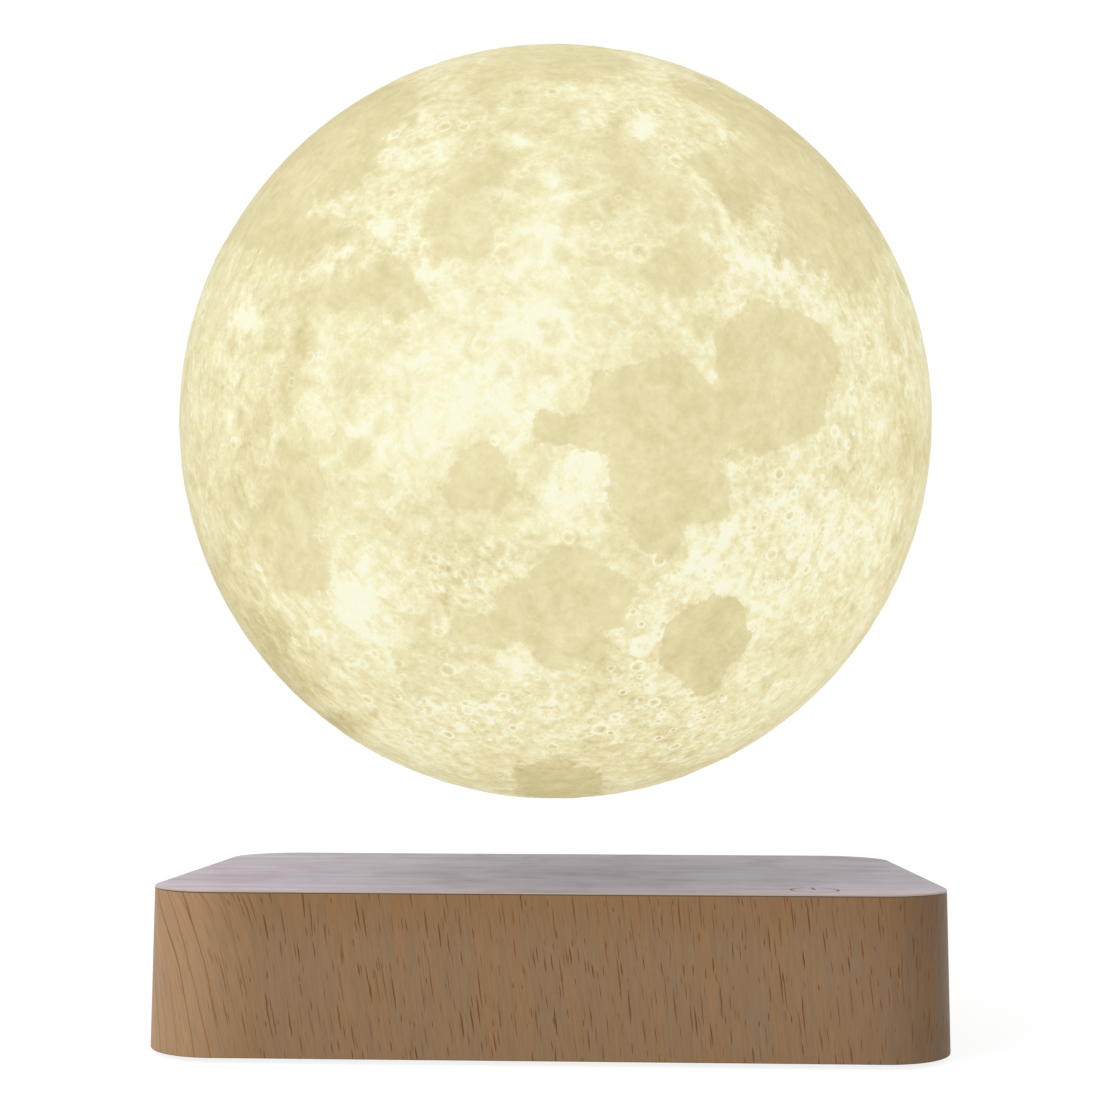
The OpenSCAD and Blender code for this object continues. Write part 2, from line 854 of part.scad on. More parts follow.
// Screws that hold the control board with the frame, and the power board
module board_screws() {
    color("silver")
    translate([0, 0, board_z]) {
        four(ear_at, ear_at)
            screw(screw_head_r, screw_head_h, screw_r, board_t + spacer_l + ear_t + screw_l - screw_tip_gap);
        translate([power_x, 0, 0]) four(power_hole_x, power_hole_y)
            screw(screw_head_r, screw_head_h, screw_r, board_t + screw_l - screw_tip_gap);
    }
}

// ---------------------------------------------------------------- power board

module power_board() {
    color([0.05, 0.30, 0.16])
    translate([power_x, 0, board_z])
    difference() {
        translate([-power_board_w / 2, -power_board_l / 2, 0]) cube([power_board_w, power_board_l, board_t]);
        four(power_hole_x, power_hole_y)
            translate([0, 0, -cut]) cylinder(r = screw_r + slide_gap, h = board_t + 2 * cut);
    }
}

module power_chips() {
    color([0.07, 0.07, 0.08])
    translate([power_x, 0, board_top_z]) {
        standing_chip([-power_chip_x / 2, power_chip_y, 0], [large_chip_w, large_chip_w, chip_t]);
        standing_chip([power_chip_x, power_chip_y, 0], [small_chip_w, small_chip_l, chip_t]);
        standing_chip([gate_chip_x, gate_chip_y, 0], [small_chip_w, small_chip_l, chip_t]);
        standing_chip([transformer_at, transformer_at, 0], [transformer_w, transformer_l, transformer_h]);
    }
}

module power_capacitors() {
    color([0.15, 0.17, 0.35])
    for (i = [0, 1]) {
        translate([power_x + capacitor_x, capacitor_y + i * capacitor_pitch, board_top_z])
            cylinder(r = capacitor_r, h = capacitor_h);
    }
}

// Drum inductor: two discs with the winding between them
module power_inductor() {
    color([0.30, 0.30, 0.32])
    translate([power_x + inductor_x, inductor_y, board_top_z]) {
        cylinder(r = inductor_r - inductor_disc_over, h = inductor_h);
        cylinder(r = inductor_r, h = inductor_disc_t);
        translate([0, 0, inductor_h - inductor_disc_t]) cylinder(r = inductor_r, h = inductor_disc_t);
    }
}

// Sockets for the leads of the inlet, the touch pad and the transmitter coil
module lead_sockets() {
    color("ivory")
    translate([power_x, 0, board_top_z]) {
        standing_chip([0, jack_socket_y, 0], [socket_w, socket_l, socket_h]);
        standing_chip([0, touch_socket_y, 0], [socket_w, socket_l, socket_h]);
        standing_chip([coil_socket_x, 0, 0], [socket_l, socket_w, socket_h]);
    }
}

// Four bare wires that bridge the control board and the power board
module board_link() {
    edge = control_board_w / 2 - link_inset;
    far_edge = power_x - power_board_w / 2 + link_inset;
    color("silver")
    for (i = [0 : link_count - 1]) {
        y = link_y + i * link_pitch;
        lead(
            [edge, y, board_top_z], [0, 0, link_rise],
            [far_edge, y, board_top_z], [0, 0, -link_rise],
            [0, 1, 0]
        );
    }
}

// ---------------------------------------------------------------- globe

module float_magnet() {
    color("silver")
    translate([0, 0, float_magnet_z]) cylinder(r = float_magnet_d / 2, h = float_magnet_t);
}

// Hollow globe, open at the bottom
module moon_shell() {
    color([0.98, 0.94, 0.78])
    difference() {
        translate([0, 0, moon_z]) sphere(r = moon_r, $fn = globe_fn);
        translate([0, 0, moon_z]) sphere(r = shell_r, $fn = globe_fn);
        translate([0, 0, moon_z - moon_r - cut]) cylinder(r = opening_r, h = moon_r);
    }
}

// Cap that closes the globe: two posts for its screws and a seat for the magnet cup
module moon_cap() {
    color([0.96, 0.92, 0.76])
    difference() {
        intersection() {
            union() {
                difference() {
                    translate([0, 0, moon_z - moon_r - cut]) cylinder(r = cap_r, h = moon_r);
                    translate([0, 0, moon_z]) sphere(r = shell_r, $fn = globe_fn);
                }
                half_turns()
                    translate([post_at, 0, moon_z - moon_r])
                        cylinder(r = post_r, h = ring_z - moon_z + moon_r);
                translate([0, 0, moon_z - moon_r])
                    band(seat_r, seat_r - seat_w, cup_z - moon_z + moon_r);
            }
            translate([0, 0, moon_z]) sphere(r = moon_r, $fn = globe_fn);
        }
        half_turns() translate([post_at, 0, 0]) {
            translate([0, 0, moon_z - moon_r - cut])
                cylinder(r = small_screw_head_r + slide_gap, h = cap_bearing_z - moon_z + moon_r + cut);
            translate([0, 0, cap_bearing_z - cut])
                cylinder(r = small_screw_r + slide_gap, h = ring_z - cap_bearing_z + 2 * cut);
        }
    }
}

// Ring glued into the globe above its opening, which the cap's screws go into
module shell_ring() {
    color("white")
    difference() {
        intersection() {
            translate([0, 0, moon_z]) sphere(r = shell_r - glue_gap, $fn = globe_fn);
            translate([0, 0, ring_z]) cylinder(r = ring_in_r + ring_w, h = ring_t);
        }
        translate([0, 0, ring_z - cut]) cylinder(r = ring_in_r, h = ring_t + 2 * cut);
        half_turns()
            translate([post_at, 0, ring_z - cut])
                cylinder(r = small_screw_r + thread_gap, h = cut + cap_thread_l);
    }
}

// Screws of the cap, from below, and of the light board, from above
module globe_screws() {
    color("silver")
    half_turns()
        translate([post_at, 0, cap_bearing_z])
            screw(small_screw_head_r, small_screw_head_h, small_screw_r, cap_screw_l);
    quarter_turns()
        translate([standoff_at, 0, light_z + board_t]) mirror([0, 0, 1])
            screw(small_screw_head_r, small_screw_head_h, small_screw_r, light_screw_l);
}

// Cup around the floating magnet, with a flange that carries the receiver coil
module magnet_cup() {
    color([0.90, 0.90, 0.88])
    difference() {
        union() {
            translate([0, 0, cup_z]) cylinder(r = cup_r, h = lid_z - cup_z);
            translate([0, 0, cup_flange_z]) cylinder(r = cup_flange_r, h = cup_flange_t);
        }
        translate([0, 0, cup_z + cup_floor]) cylinder(r = cup_r - cup_wall, h = lid_z);
    }
}

module magnet_lid() {
    color([0.90, 0.90, 0.88])
    difference() {
        translate([0, 0, lid_z]) cylinder(r = cup_r, h = lid_t);
        quarter_turns()
            translate([standoff_at, 0, lid_z - cut])
                cylinder(r = small_screw_r + thread_gap, h = lid_t + 2 * cut);
    }
}

module receiver_coil() {
    color([0.78, 0.42, 0.22])
    translate([0, 0, receiver_z]) band(receiver_od / 2, receiver_id / 2, power_coil_t);
}

// Ferrite on the receiver coil, notched where the leads come up
module receiver_ferrite() {
    color([0.18, 0.18, 0.20])
    difference() {
        translate([0, 0, receiver_ferrite_z]) band(receiver_od / 2, receiver_id / 2, ferrite_t);
        translate([receiver_id / 2 + receiver_notch_at, -receiver_notch_w / 2, receiver_ferrite_z - cut])
            cube([receiver_od, receiver_notch_w, ferrite_t + 2 * cut]);
    }
}

module receiver_leads() {
    color([0.78, 0.42, 0.22])
    for (s = [-1, 1]) {
        lead(
            [receiver_coil_end, s * receiver_lead_y, receiver_ferrite_z], [0, 0, receiver_lead_up],
            [receiver_lead_at, s * receiver_lead_y, driver_z], [0, 0, receiver_lead_up],
            [0, 1, 0]
        );
    }
}

// Lower standoffs on the lid and upper ones on the driver board, each with a stud below
module standoffs() {
    color("gold")
    quarter_turns() translate([standoff_at, 0, 0]) {
        translate([0, 0, lid_z + lid_t]) standoff(lower_standoff_l, lid_stud_l);
        translate([0, 0, driver_z + board_t]) standoff(upper_standoff_l, stud_l);
    }
}

// Hexagon standoff on z = 0, with a threaded hole in its top
module standoff(l, stud) {
    difference() {
        union() {
            cylinder(r = standoff_r, h = l, $fn = 6);
            translate([0, 0, -stud]) cylinder(r = small_screw_r, h = stud + l - thread_depth);
        }
        translate([0, 0, l - thread_depth])
            cylinder(r = small_screw_r + thread_gap, h = thread_depth + cut);
    }
}

// Round board with four holes for the standoffs
module round_board(z, d) {
    translate([0, 0, z])
    difference() {
        cylinder(r = d / 2, h = board_t);
        quarter_turns()
            translate([standoff_at, 0, -cut])
                cylinder(r = small_screw_r + slide_gap, h = board_t + 2 * cut);
    }
}

module driver_board() {
    color([0.05, 0.30, 0.16]) round_board(driver_z, driver_board_d);
}

// Inductor, capacitor and chips on the driver board
module driver_parts() {
    color([0.15, 0.15, 0.17])
    translate([0, 0, driver_z + board_t]) {
        standing_chip([0, 0, 0], [driver_coil_w, driver_coil_w, driver_coil_h]);
        for (s = [-1, 1]) {
            translate([s * driver_part_at, s * driver_part_at, 0]) cylinder(r = capacitor_r, h = capacitor_h);
        }
        standing_chip([-driver_part_at, driver_part_at, 0], [large_chip_w, large_chip_w, chip_t]);
        standing_chip([driver_part_at, -driver_part_at, 0], [small_chip_w, small_chip_l, chip_t]);
    }
}

module light_board() {
    color([0.93, 0.93, 0.91]) round_board(light_z, light_board_d);
}

// Light diodes: an outer circle and four in the middle
module light_diodes() {
    color([0.98, 0.90, 0.55]) {
        for (i = [0 : light_count - 1]) {
            rotate([0, 0, 360 * (i + 0.5) / light_count]) diode(diode_ring_r);
        }
        quarter_turns() rotate([0, 0, 45]) diode(inner_diode_r);
    }
}

module diode(at_r) {
    standing_chip([at_r, 0, light_z + board_t], [diode_w, diode_w, diode_h]);
}

module light_leads() {
    color("red")
    for (s = [-1, 1]) {
        lead(
            [light_lead_at, s * light_lead_y, driver_z + board_t], [0, 0, light_lead_up],
            [light_lead_at, s * light_lead_y, light_z], [0, 0, light_lead_up],
            [0, 1, 0]
        );
    }
}

wood_core();
top_veneer();
side_veneer();
bottom_plate();
plate_screws();
foot_1();
foot_2();
foot_3();
foot_4();
touch_mark();
touch_pad();
touch_lead();
jack_body();
jack_pin();
jack_nut();
jack_terminals();
jack_leads();
module_frame();
ring_magnet();
coil_tray();
transmitter_ferrite();
transmitter_coil();
transmitter_leads();
control_board();
control_chips();
control_bobbin_1();
control_bobbin_2();
control_bobbin_3();
control_bobbin_4();
control_winding_1();
control_winding_2();
control_winding_3();
control_winding_4();
sensor_board();
position_sensors();
sensor_pins();
board_screws();
power_board();
power_chips();
power_capacitors();
power_inductor();
lead_sockets();
board_link();
float_magnet();
moon_shell();
moon_cap();
shell_ring();
globe_screws();
magnet_cup();
magnet_lid();
receiver_coil();
receiver_ferrite();
receiver_leads();
driver_board();
driver_parts();
standoffs();
light_board();
light_diodes();
light_leads();
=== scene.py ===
"""Moon lamp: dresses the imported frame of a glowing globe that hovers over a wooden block.

Everything is in metres, in the frame's own coordinates: +Z is up and -Y is the front.
"""

import json
import logging
import math
import random
from dataclasses import dataclass, field
from enum import Enum
from typing import Callable, Sequence, Union

import bmesh
import bpy
import numpy as np
from mathutils import Matrix, Vector, kdtree, noise

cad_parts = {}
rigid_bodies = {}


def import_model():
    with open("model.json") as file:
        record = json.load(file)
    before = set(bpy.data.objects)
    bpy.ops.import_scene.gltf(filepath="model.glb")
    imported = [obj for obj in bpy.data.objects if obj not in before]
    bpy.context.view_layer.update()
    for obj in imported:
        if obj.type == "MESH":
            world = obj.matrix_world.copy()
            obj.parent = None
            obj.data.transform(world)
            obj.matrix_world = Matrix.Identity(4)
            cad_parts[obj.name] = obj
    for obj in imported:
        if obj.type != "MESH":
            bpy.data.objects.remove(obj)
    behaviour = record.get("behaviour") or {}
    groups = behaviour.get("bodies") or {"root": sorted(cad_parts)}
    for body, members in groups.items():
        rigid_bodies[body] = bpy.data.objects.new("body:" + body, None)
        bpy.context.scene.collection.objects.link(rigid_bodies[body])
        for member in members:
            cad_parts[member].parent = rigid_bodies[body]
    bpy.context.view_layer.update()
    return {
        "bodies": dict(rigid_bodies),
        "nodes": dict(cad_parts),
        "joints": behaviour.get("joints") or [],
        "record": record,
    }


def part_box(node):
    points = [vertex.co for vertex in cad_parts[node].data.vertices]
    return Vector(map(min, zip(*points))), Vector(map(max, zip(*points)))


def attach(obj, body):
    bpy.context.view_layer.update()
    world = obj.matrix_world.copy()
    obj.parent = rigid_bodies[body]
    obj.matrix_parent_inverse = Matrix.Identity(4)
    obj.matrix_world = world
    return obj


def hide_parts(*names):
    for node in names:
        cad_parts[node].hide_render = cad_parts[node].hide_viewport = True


MM = 0.001
SEED = 11
LINT = (150, 148, 144)

Socket = bpy.types.NodeSocket
Node = bpy.types.Node
Piece = bpy.types.Object
Value = Union[Socket, float, Sequence[float]]
Element = Union[bmesh.types.BMEdge, bmesh.types.BMFace]
log = logging.getLogger("moon_lamp")


# ------------------------------------------------------------------ small helpers


def paint(red: float, green: float, blue: float) -> tuple[float, float, float, float]:
    """Colour for a shader from the 0 to 255 values that it has on a screen.

    Args:
        red: Red, 0 to 255.
        green: Green, 0 to 255.
        blue: Blue, 0 to 255.

    Returns:
        The colour in linear light, with alpha.
    """
    linear = []
    for value in (red, green, blue):
        share = value / 255
        linear.append(share / 12.92 if share <= 0.04045 else ((share + 0.055) / 1.055) ** 2.4)
    return (linear[0], linear[1], linear[2], 1.0)


def only(*objects: Piece) -> None:
    """Selects these objects and nothing else, and makes the last one active."""
    if bpy.context.mode != "OBJECT":
        leave_edit()
    bpy.ops.object.select_all(action="DESELECT")
    for piece in objects:
        piece.select_set(True)
        bpy.context.view_layer.objects.active = piece


def seat(piece: Piece) -> None:
    """Puts a piece's place, turn and scale into its mesh."""
    only(piece)
    bpy.ops.object.transform_apply(location=True, rotation=True, scale=True)


def edit(piece: Piece, mode: str = "VERT", everything: bool = False) -> None:
    """Opens a piece in edit mode with nothing or everything selected."""
    only(piece)
    bpy.ops.object.mode_set(mode="EDIT")
    bpy.ops.mesh.select_mode(type=mode)
    bpy.ops.mesh.select_all(action="SELECT" if everything else "DESELECT")


def leave_edit() -> None:
    """Goes back to object mode."""
    bpy.ops.object.mode_set(mode="OBJECT")


def pick(piece: Piece, kind: str, test: Callable[[Element], bool]) -> None:
    """Selects the edges or faces of a piece in edit mode that pass a test.

    Args:
        piece: The object in edit mode.
        kind: "edges" or "faces".
        test: Takes an edge or face, and says whether it is picked.
    """
    mesh = bmesh.from_edit_mesh(piece.data)
    for item in getattr(mesh, kind):
        if test(item):
            item.select_set(True)
    mesh.select_flush_mode()
    bmesh.update_edit_mesh(piece.data)


def close(piece: Piece) -> None:
    """Merges doubles, turns the faces outward and leaves edit mode."""
    bpy.ops.mesh.select_all(action="SELECT")
    bpy.ops.mesh.remove_doubles(threshold=0.001 * MM)
    bpy.ops.mesh.normals_make_consistent(inside=False)
    leave_edit()


def smooth(piece: Piece, degrees: float = 35.0) -> None:
    """Shades a piece smooth, but for edges sharper than an angle."""
    only(piece)
    bpy.ops.object.shade_smooth_by_angle(angle=math.radians(degrees))


def flatten_shading(piece: Piece) -> None:
    """Shades a piece smooth and turns its shading towards its large flat faces."""
    smooth(piece)
    step = piece.modifiers.new("flat_shading", "WEIGHTED_NORMAL")
    step.keep_sharp = True
    step.weight = 100
    bpy.ops.object.modifier_apply(modifier=step.name)


def round_edges(piece: Piece, width: float, steps: int = 3, degrees: float = 40.0) -> None:
    """Rounds a piece's sharp edges with an applied Bevel modifier.

    Args:
        piece: The object to round.
        width: Width of the rounding, in metres.
        steps: Faces across the rounding.
        degrees: Edges sharper than this angle are rounded.
    """
    only(piece)
    bevel = piece.modifiers.new("rounding", "BEVEL")
    bevel.width = width
    bevel.segments = steps
    bevel.limit_method = "ANGLE"
    bevel.angle_limit = math.radians(degrees)
    bpy.ops.object.modifier_apply(modifier=bevel.name)


def cut_with(piece: Piece, tool: Piece, operation: str = "DIFFERENCE") -> None:
    """Cuts a tool from a piece, or joins it to the piece, and deletes the tool."""
    only(piece)
    step = piece.modifiers.new("cut", "BOOLEAN")
    step.operation = operation
    step.solver = "EXACT"
    step.object = tool
    bpy.ops.object.modifier_apply(modifier=step.name)
    bpy.data.objects.remove(tool)


def shape(values: np.ndarray, low: float, high: float) -> np.ndarray:
    """Smooth step from 0 at low to 1 at high, for an array of values."""
    share = np.clip((values - low) / (high - low), 0.0, 1.0)
    return share * share * (3.0 - 2.0 * share)


# ------------------------------------------------------------------ node sheets


class Sheet:
    """One node tree, with short calls that place its nodes and join them."""

    def __init__(self, tree: bpy.types.NodeTree) -> None:
        """Takes the tree that the nodes go into."""
        self.tree = tree

    def node(self, kind: str, **settings: object) -> Node:
        """A new node of a kind, with its settings."""
        made = self.tree.nodes.new(kind)
        for key, value in settings.items():
            setattr(made, key, value)
        return made

    def feed(self, socket: Socket, value: Value) -> None:
        """Joins an output to an input, or sets the input's own value."""
        if isinstance(value, Socket):
            self.tree.links.new(value, socket)
        else:
            socket.default_value = value

    def maths(self, operation: str, *values: Value) -> Socket:
        """Result of a Math node."""
        made = self.node("ShaderNodeMath", operation=operation)
        for socket, value in zip(made.inputs, values):
            self.feed(socket, value)
        return made.outputs[0]

    def total(self, *values: Value) -> Socket:
        """Sum of several values."""
        result = values[0]
        for value in values[1:]:
            result = self.maths("ADD", result, value)
        return result

    def times(self, first: Value, second: Value) -> Socket:
        """Product of two values."""
        return self.maths("MULTIPLY", first, second)

    def less(self, first: Value, second: Value) -> Socket:
        """First value less the second."""
        return self.maths("SUBTRACT", first, second)

    def about(self, value: Value, gain: Value) -> Socket:
        """A value of 0 to 1, less its middle, times a gain."""
        return self.times(self.less(value, 0.5), gain)

    def vector(self, operation: str, *values: Value) -> Socket:
        """Result of a Vector Math node: a vector, or a number for a length or dot product."""
        made = self.node("ShaderNodeVectorMath", operation=operation)
        for socket, value in zip(made.inputs, values):
            self.feed(socket, value)
        return made.outputs["Value" if operation in ("LENGTH", "DOT_PRODUCT") else "Vector"]

    def step(self, value: Value, low: Value, high: Value, start: Value = 0.0, end: Value = 1.0) -> Socket:
        """Smooth step of a value between two limits."""
        made = self.node("ShaderNodeMapRange", interpolation_type="SMOOTHSTEP")
        for name, given in (
            ("Value", value), ("From Min", low), ("From Max", high), ("To Min", start), ("To Max", end)
        ):
            self.feed(made.inputs[name], given)
        return made.outputs[0]

    def blend(self, share: Value, first: Value, second: Value, mode: str = "MIX") -> Socket:
        """Colour between a first and a second one."""
        made = self.node("ShaderNodeMix", data_type="RGBA", blend_type=mode)
        self.feed(made.inputs[0], share)
        self.feed(made.inputs[6], first)
        self.feed(made.inputs[7], second)
        return made.outputs[2]

    def cloud(
        self, place: Value, scale: float, detail: float = 2.0, rough: float = 0.5, warp: float = 0.0
    ) -> Socket:
        """Noise from 0 to 1."""
        made = self.node("ShaderNodeTexNoise", noise_dimensions="3D")
        for name, given in (
            ("Vector", place), ("Scale", scale), ("Detail", detail), ("Roughness", rough),
            ("Distortion", warp),
        ):
            self.feed(made.inputs[name], given)
        return made.outputs["Fac"]

    def cells(self, place: Value, scale: float, feature: str = "F1") -> Node:
        """Voronoi cells, with their Distance and Color outputs."""
        made = self.node("ShaderNodeTexVoronoi", feature=feature)
        self.feed(made.inputs["Vector"], place)
        self.feed(made.inputs["Scale"], scale)
        return made

    def split(self, vector: Value) -> tuple[Socket, Socket, Socket]:
        """The three parts of a vector."""
        made = self.node("ShaderNodeSeparateXYZ")
        self.feed(made.inputs[0], vector)
        return made.outputs[0], made.outputs[1], made.outputs[2]

    def join(self, x: Value, y: Value, z: Value) -> Socket:
        """Vector of three parts."""
        made = self.node("ShaderNodeCombineXYZ")
        for socket, value in zip(made.inputs, (x, y, z)):
            self.feed(socket, value)
        return made.outputs[0]

    def ramp(self, share: Value, stops: Sequence[tuple[float, tuple]]) -> Socket:
        """Colour from a ramp of (place, colour) stops."""
        made = self.node("ShaderNodeValToRGB")
        points = made.color_ramp.elements
        while len(points) < len(stops):
            points.new(0.5)
        for point, (place, colour) in zip(points, stops):
            point.position = place
            point.color = colour
        self.feed(made.inputs[0], share)
        return made.outputs[0]

    def bump(self, height: Value, depth: float, strength: float = 1.0) -> Socket:
        """Normal from a height of 0 to 1 that stands for a depth in metres."""
        made = self.node("ShaderNodeBump")
        made.inputs["Strength"].default_value = strength
        made.inputs["Distance"].default_value = depth
        self.feed(made.inputs["Height"], height)
        return made.outputs[0]

    def effect(self, group: bpy.types.NodeTree, values: dict[str, Value]) -> Node:
        """A shared effect, with its inputs by name."""
        made = self.node("ShaderNodeGroup", node_tree=group)
        for name, value in values.items():
            self.feed(made.inputs[name], value)
        return made

    def place(self) -> Socket:
        """The piece's own coordinates, in millimetres."""
        made = self.node("ShaderNodeTexCoord")
        return self.scaled(made.outputs["Object"])

    def scaled(self, vector: Value, share: Value = 1 / MM) -> Socket:
        """A vector or colour times a number, or a vector in metres as one in millimetres."""
        made = self.node("ShaderNodeVectorMath", operation="SCALE")
        self.feed(made.inputs[0], vector)
        self.feed(made.inputs["Scale"], share)
        return made.outputs[0]

    def over(self, vector: Value, size: Value) -> Socket:
        """A vector divided by a size."""
        return self.vector("DIVIDE", vector, self.join(size, size, size))

    def attribute(self, name: str) -> Socket:
        """Number that the piece's mesh carries under a name."""
        made = self.node("ShaderNodeAttribute", attribute_name=name)
        return made.outputs["Fac"]

    def facing(self) -> tuple[Socket, Socket, Socket]:
        """The three parts of the surface's normal."""
        return self.split(self.node("ShaderNodeNewGeometry").outputs["Normal"])


def fresh_sheet(owner: Union[bpy.types.Material, bpy.types.World]) -> Sheet:
    """Sheet on a material's or a world's emptied nodes."""
    owner.use_nodes = True
    owner.node_tree.nodes.clear()
    return Sheet(owner.node_tree)


def effect_group(name: str, inputs: dict[str, object], outputs: Sequence[str]) -> tuple[Sheet, dict, dict]:
    """An empty node group.

    Args:
        name: The group's name.
        inputs: Default value by input name: a number, or None for a vector.
        outputs: Names of the outputs, which are all numbers.

    Returns:
        The group's sheet, its inputs by name and its output sockets by name.
    """
    tree = bpy.data.node_groups.new(name, "ShaderNodeTree")
    for key, default in inputs.items():
        kind = "NodeSocketVector" if default is None else "NodeSocketFloat"
        made = tree.interface.new_socket(name=key, in_out="INPUT", socket_type=kind)
        if default is not None:
            made.default_value = default
    for key in outputs:
        tree.interface.new_socket(name=key, in_out="OUTPUT", socket_type="NodeSocketFloat")
    sheet = Sheet(tree)
    entry = sheet.node("NodeGroupInput")
    leave = sheet.node("NodeGroupOutput")
    return sheet, {s.name: s for s in entry.outputs}, {s.name: s for s in leave.inputs}


class Effects:
    """The node groups that several materials share, each built once."""

    def __init__(self) -> None:
        """Builds every group."""
        self.grain = self._grain()
        self.skin = self._skin()
        self.brushing = self._brushing()
        self.handling = self._handling()
        self.pits = self._pits()

    @staticmethod
    def _grain() -> bpy.types.NodeTree:
        """Wood grain that runs along Y of its Place, in millimetres."""
        sheet, given, out = effect_group(
            "wood_grain",
            {"Place": None, "Pore Length": 5.5, "Pore Width": 0.26, "Pore Share": 0.8, "Band Width": 9.0},
            ("Fibre", "Pores", "Bands"),
        )
        x, y, z = sheet.split(given["Place"])
        sway = sheet.cloud(sheet.join(sheet.times(x, 0.05), sheet.times(y, 0.02), z), 1.0, 2.0)
        ripple = sheet.cloud(sheet.join(sheet.times(x, 0.5), sheet.times(y, 0.45), z), 1.0, 2.0)
        across = sheet.total(x, sheet.about(sway, 2.4), sheet.about(ripple, 0.28))
        fine = sheet.join(sheet.times(across, 1.9), sheet.times(y, 0.11), z)
        sheet.feed(out["Fibre"], sheet.cloud(fine, 1.0, 6.0, 0.68))
        long = Effects._pores(sheet, across, y, given, 1.0)
        short = Effects._pores(sheet, sheet.total(across, 31.0), y, given, 0.42)
        sheet.feed(out["Pores"], sheet.maths("MAXIMUM", long, short))
        wide = sheet.join(sheet.maths("DIVIDE", across, given["Band Width"]), sheet.times(y, 0.018), z)
        sheet.feed(out["Bands"], sheet.cloud(wide, 1.0, 5.0, 0.62, 0.2))
        return sheet.tree

    @staticmethod
    def _pores(sheet: Sheet, across: Value, along: Value, given: dict, size: float) -> Socket:
        """Slender pores that taper at both ends, one in each cell of a stretched net.

        Args:
            sheet: The group's sheet.
            across: Place across the grain, in millimetres.
            along: Place along the grain, in millimetres.
            given: The group's inputs.
            size: Length of the pores, as a share of the Pore Length.

        Returns:
            How far each point lies in a pore, 0 to 1.
        """
        slim = math.sqrt(size)
        wide, tall = 1.35 * slim, sheet.times(given["Pore Length"], 3.2 * size)
        net = sheet.join(sheet.times(across, 1 / wide), sheet.maths("DIVIDE", along, tall), 0.0)
        cell = sheet.cells(net, 1.0)
        cell.voronoi_dimensions = "2D"
        chance, reach, force = sheet.split(cell.outputs["Color"])
        off_x, off_y, _ = sheet.split(sheet.vector("SUBTRACT", net, cell.outputs["Position"]))
        half = sheet.times(given["Pore Length"], sheet.total(0.24 * size, sheet.times(reach, 0.62 * size)))
        ratio = sheet.maths("DIVIDE", sheet.times(off_y, tall), half)
        taper = sheet.maths("MAXIMUM", 0.0, sheet.less(1.0, sheet.times(ratio, ratio)))
        girth = sheet.total(0.26 * slim, sheet.times(force, 0.26 * slim))
        thick = sheet.times(sheet.times(given["Pore Width"], girth), taper)
        gap = sheet.less(sheet.maths("ABSOLUTE", sheet.times(off_x, wide)), thick)
        inside = sheet.times(sheet.step(gap, -0.05, 0.035, 1.0, 0.0), sheet.step(taper, 0.0, 0.15))
        there = sheet.maths("LESS_THAN", chance, sheet.times(given["Pore Share"], 0.45 + 0.55 * size))
        return sheet.times(sheet.times(inside, there), sheet.total(0.55, sheet.times(force, 0.45)))

    @staticmethod
    def _skin() -> bpy.types.NodeTree:
        """Fine cast or moulded texture, with the Size of its grains in millimetres."""
        sheet, given, out = effect_group(
            "moulded_skin", {"Place": None, "Size": 0.4},
            ("Height", "Tone"),
        )
        spot = sheet.over(given["Place"], given["Size"])
        grains = sheet.cells(spot, 1.0, "SMOOTH_F1").outputs["Distance"]
        dust = sheet.cloud(spot, 0.6, 3.0, 0.6)
        sheet.feed(out["Height"], sheet.total(sheet.times(grains, 0.7), sheet.times(dust, 0.4)))
        sheet.feed(out["Tone"], sheet.cloud(spot, 0.08, 3.0, 0.6))
        return sheet.tree

    @staticmethod
    def _brushing() -> bpy.types.NodeTree:
        """Turned or brushed metal: rings about Z, and scratches along one way."""
        sheet, given, out = effect_group(
            "brushed_metal", {"Place": None, "Pitch": 0.25},
            ("Height", "Rough"),
        )
        x, y, z = sheet.split(given["Place"])
        lines = sheet.join(sheet.times(x, 0.3), sheet.times(y, 0.3), sheet.maths("DIVIDE", z, given["Pitch"]))
        scratch = sheet.cloud(lines, 1.0, 3.0, 0.7)
        patch = sheet.cloud(given["Place"], 0.5, 3.0, 0.6)
        sheet.feed(out["Height"], scratch)
        both = sheet.total(sheet.times(scratch, 0.5), sheet.times(patch, 0.5))
        sheet.feed(out["Rough"], both)
        return sheet.tree

    @staticmethod
    def _handling() -> bpy.types.NodeTree:
        """Faint smears and lint on a surface that hands have touched."""
        sheet, given, out = effect_group(
            "handling_marks", {"Place": None}, ("Smear", "Lint"),
        )
        sheet.feed(out["Smear"], sheet.step(sheet.cloud(given["Place"], 0.07, 4.0, 0.6, 0.8), 0.35, 0.75))
        dots = sheet.cells(given["Place"], 0.35)
        chance = sheet.split(dots.outputs["Color"])[0]
        near = sheet.step(dots.outputs["Distance"], 0.05, 0.11, 1.0, 0.0)
        sheet.feed(out["Lint"], sheet.times(near, sheet.step(chance, 0.80, 0.82)))
        return sheet.tree

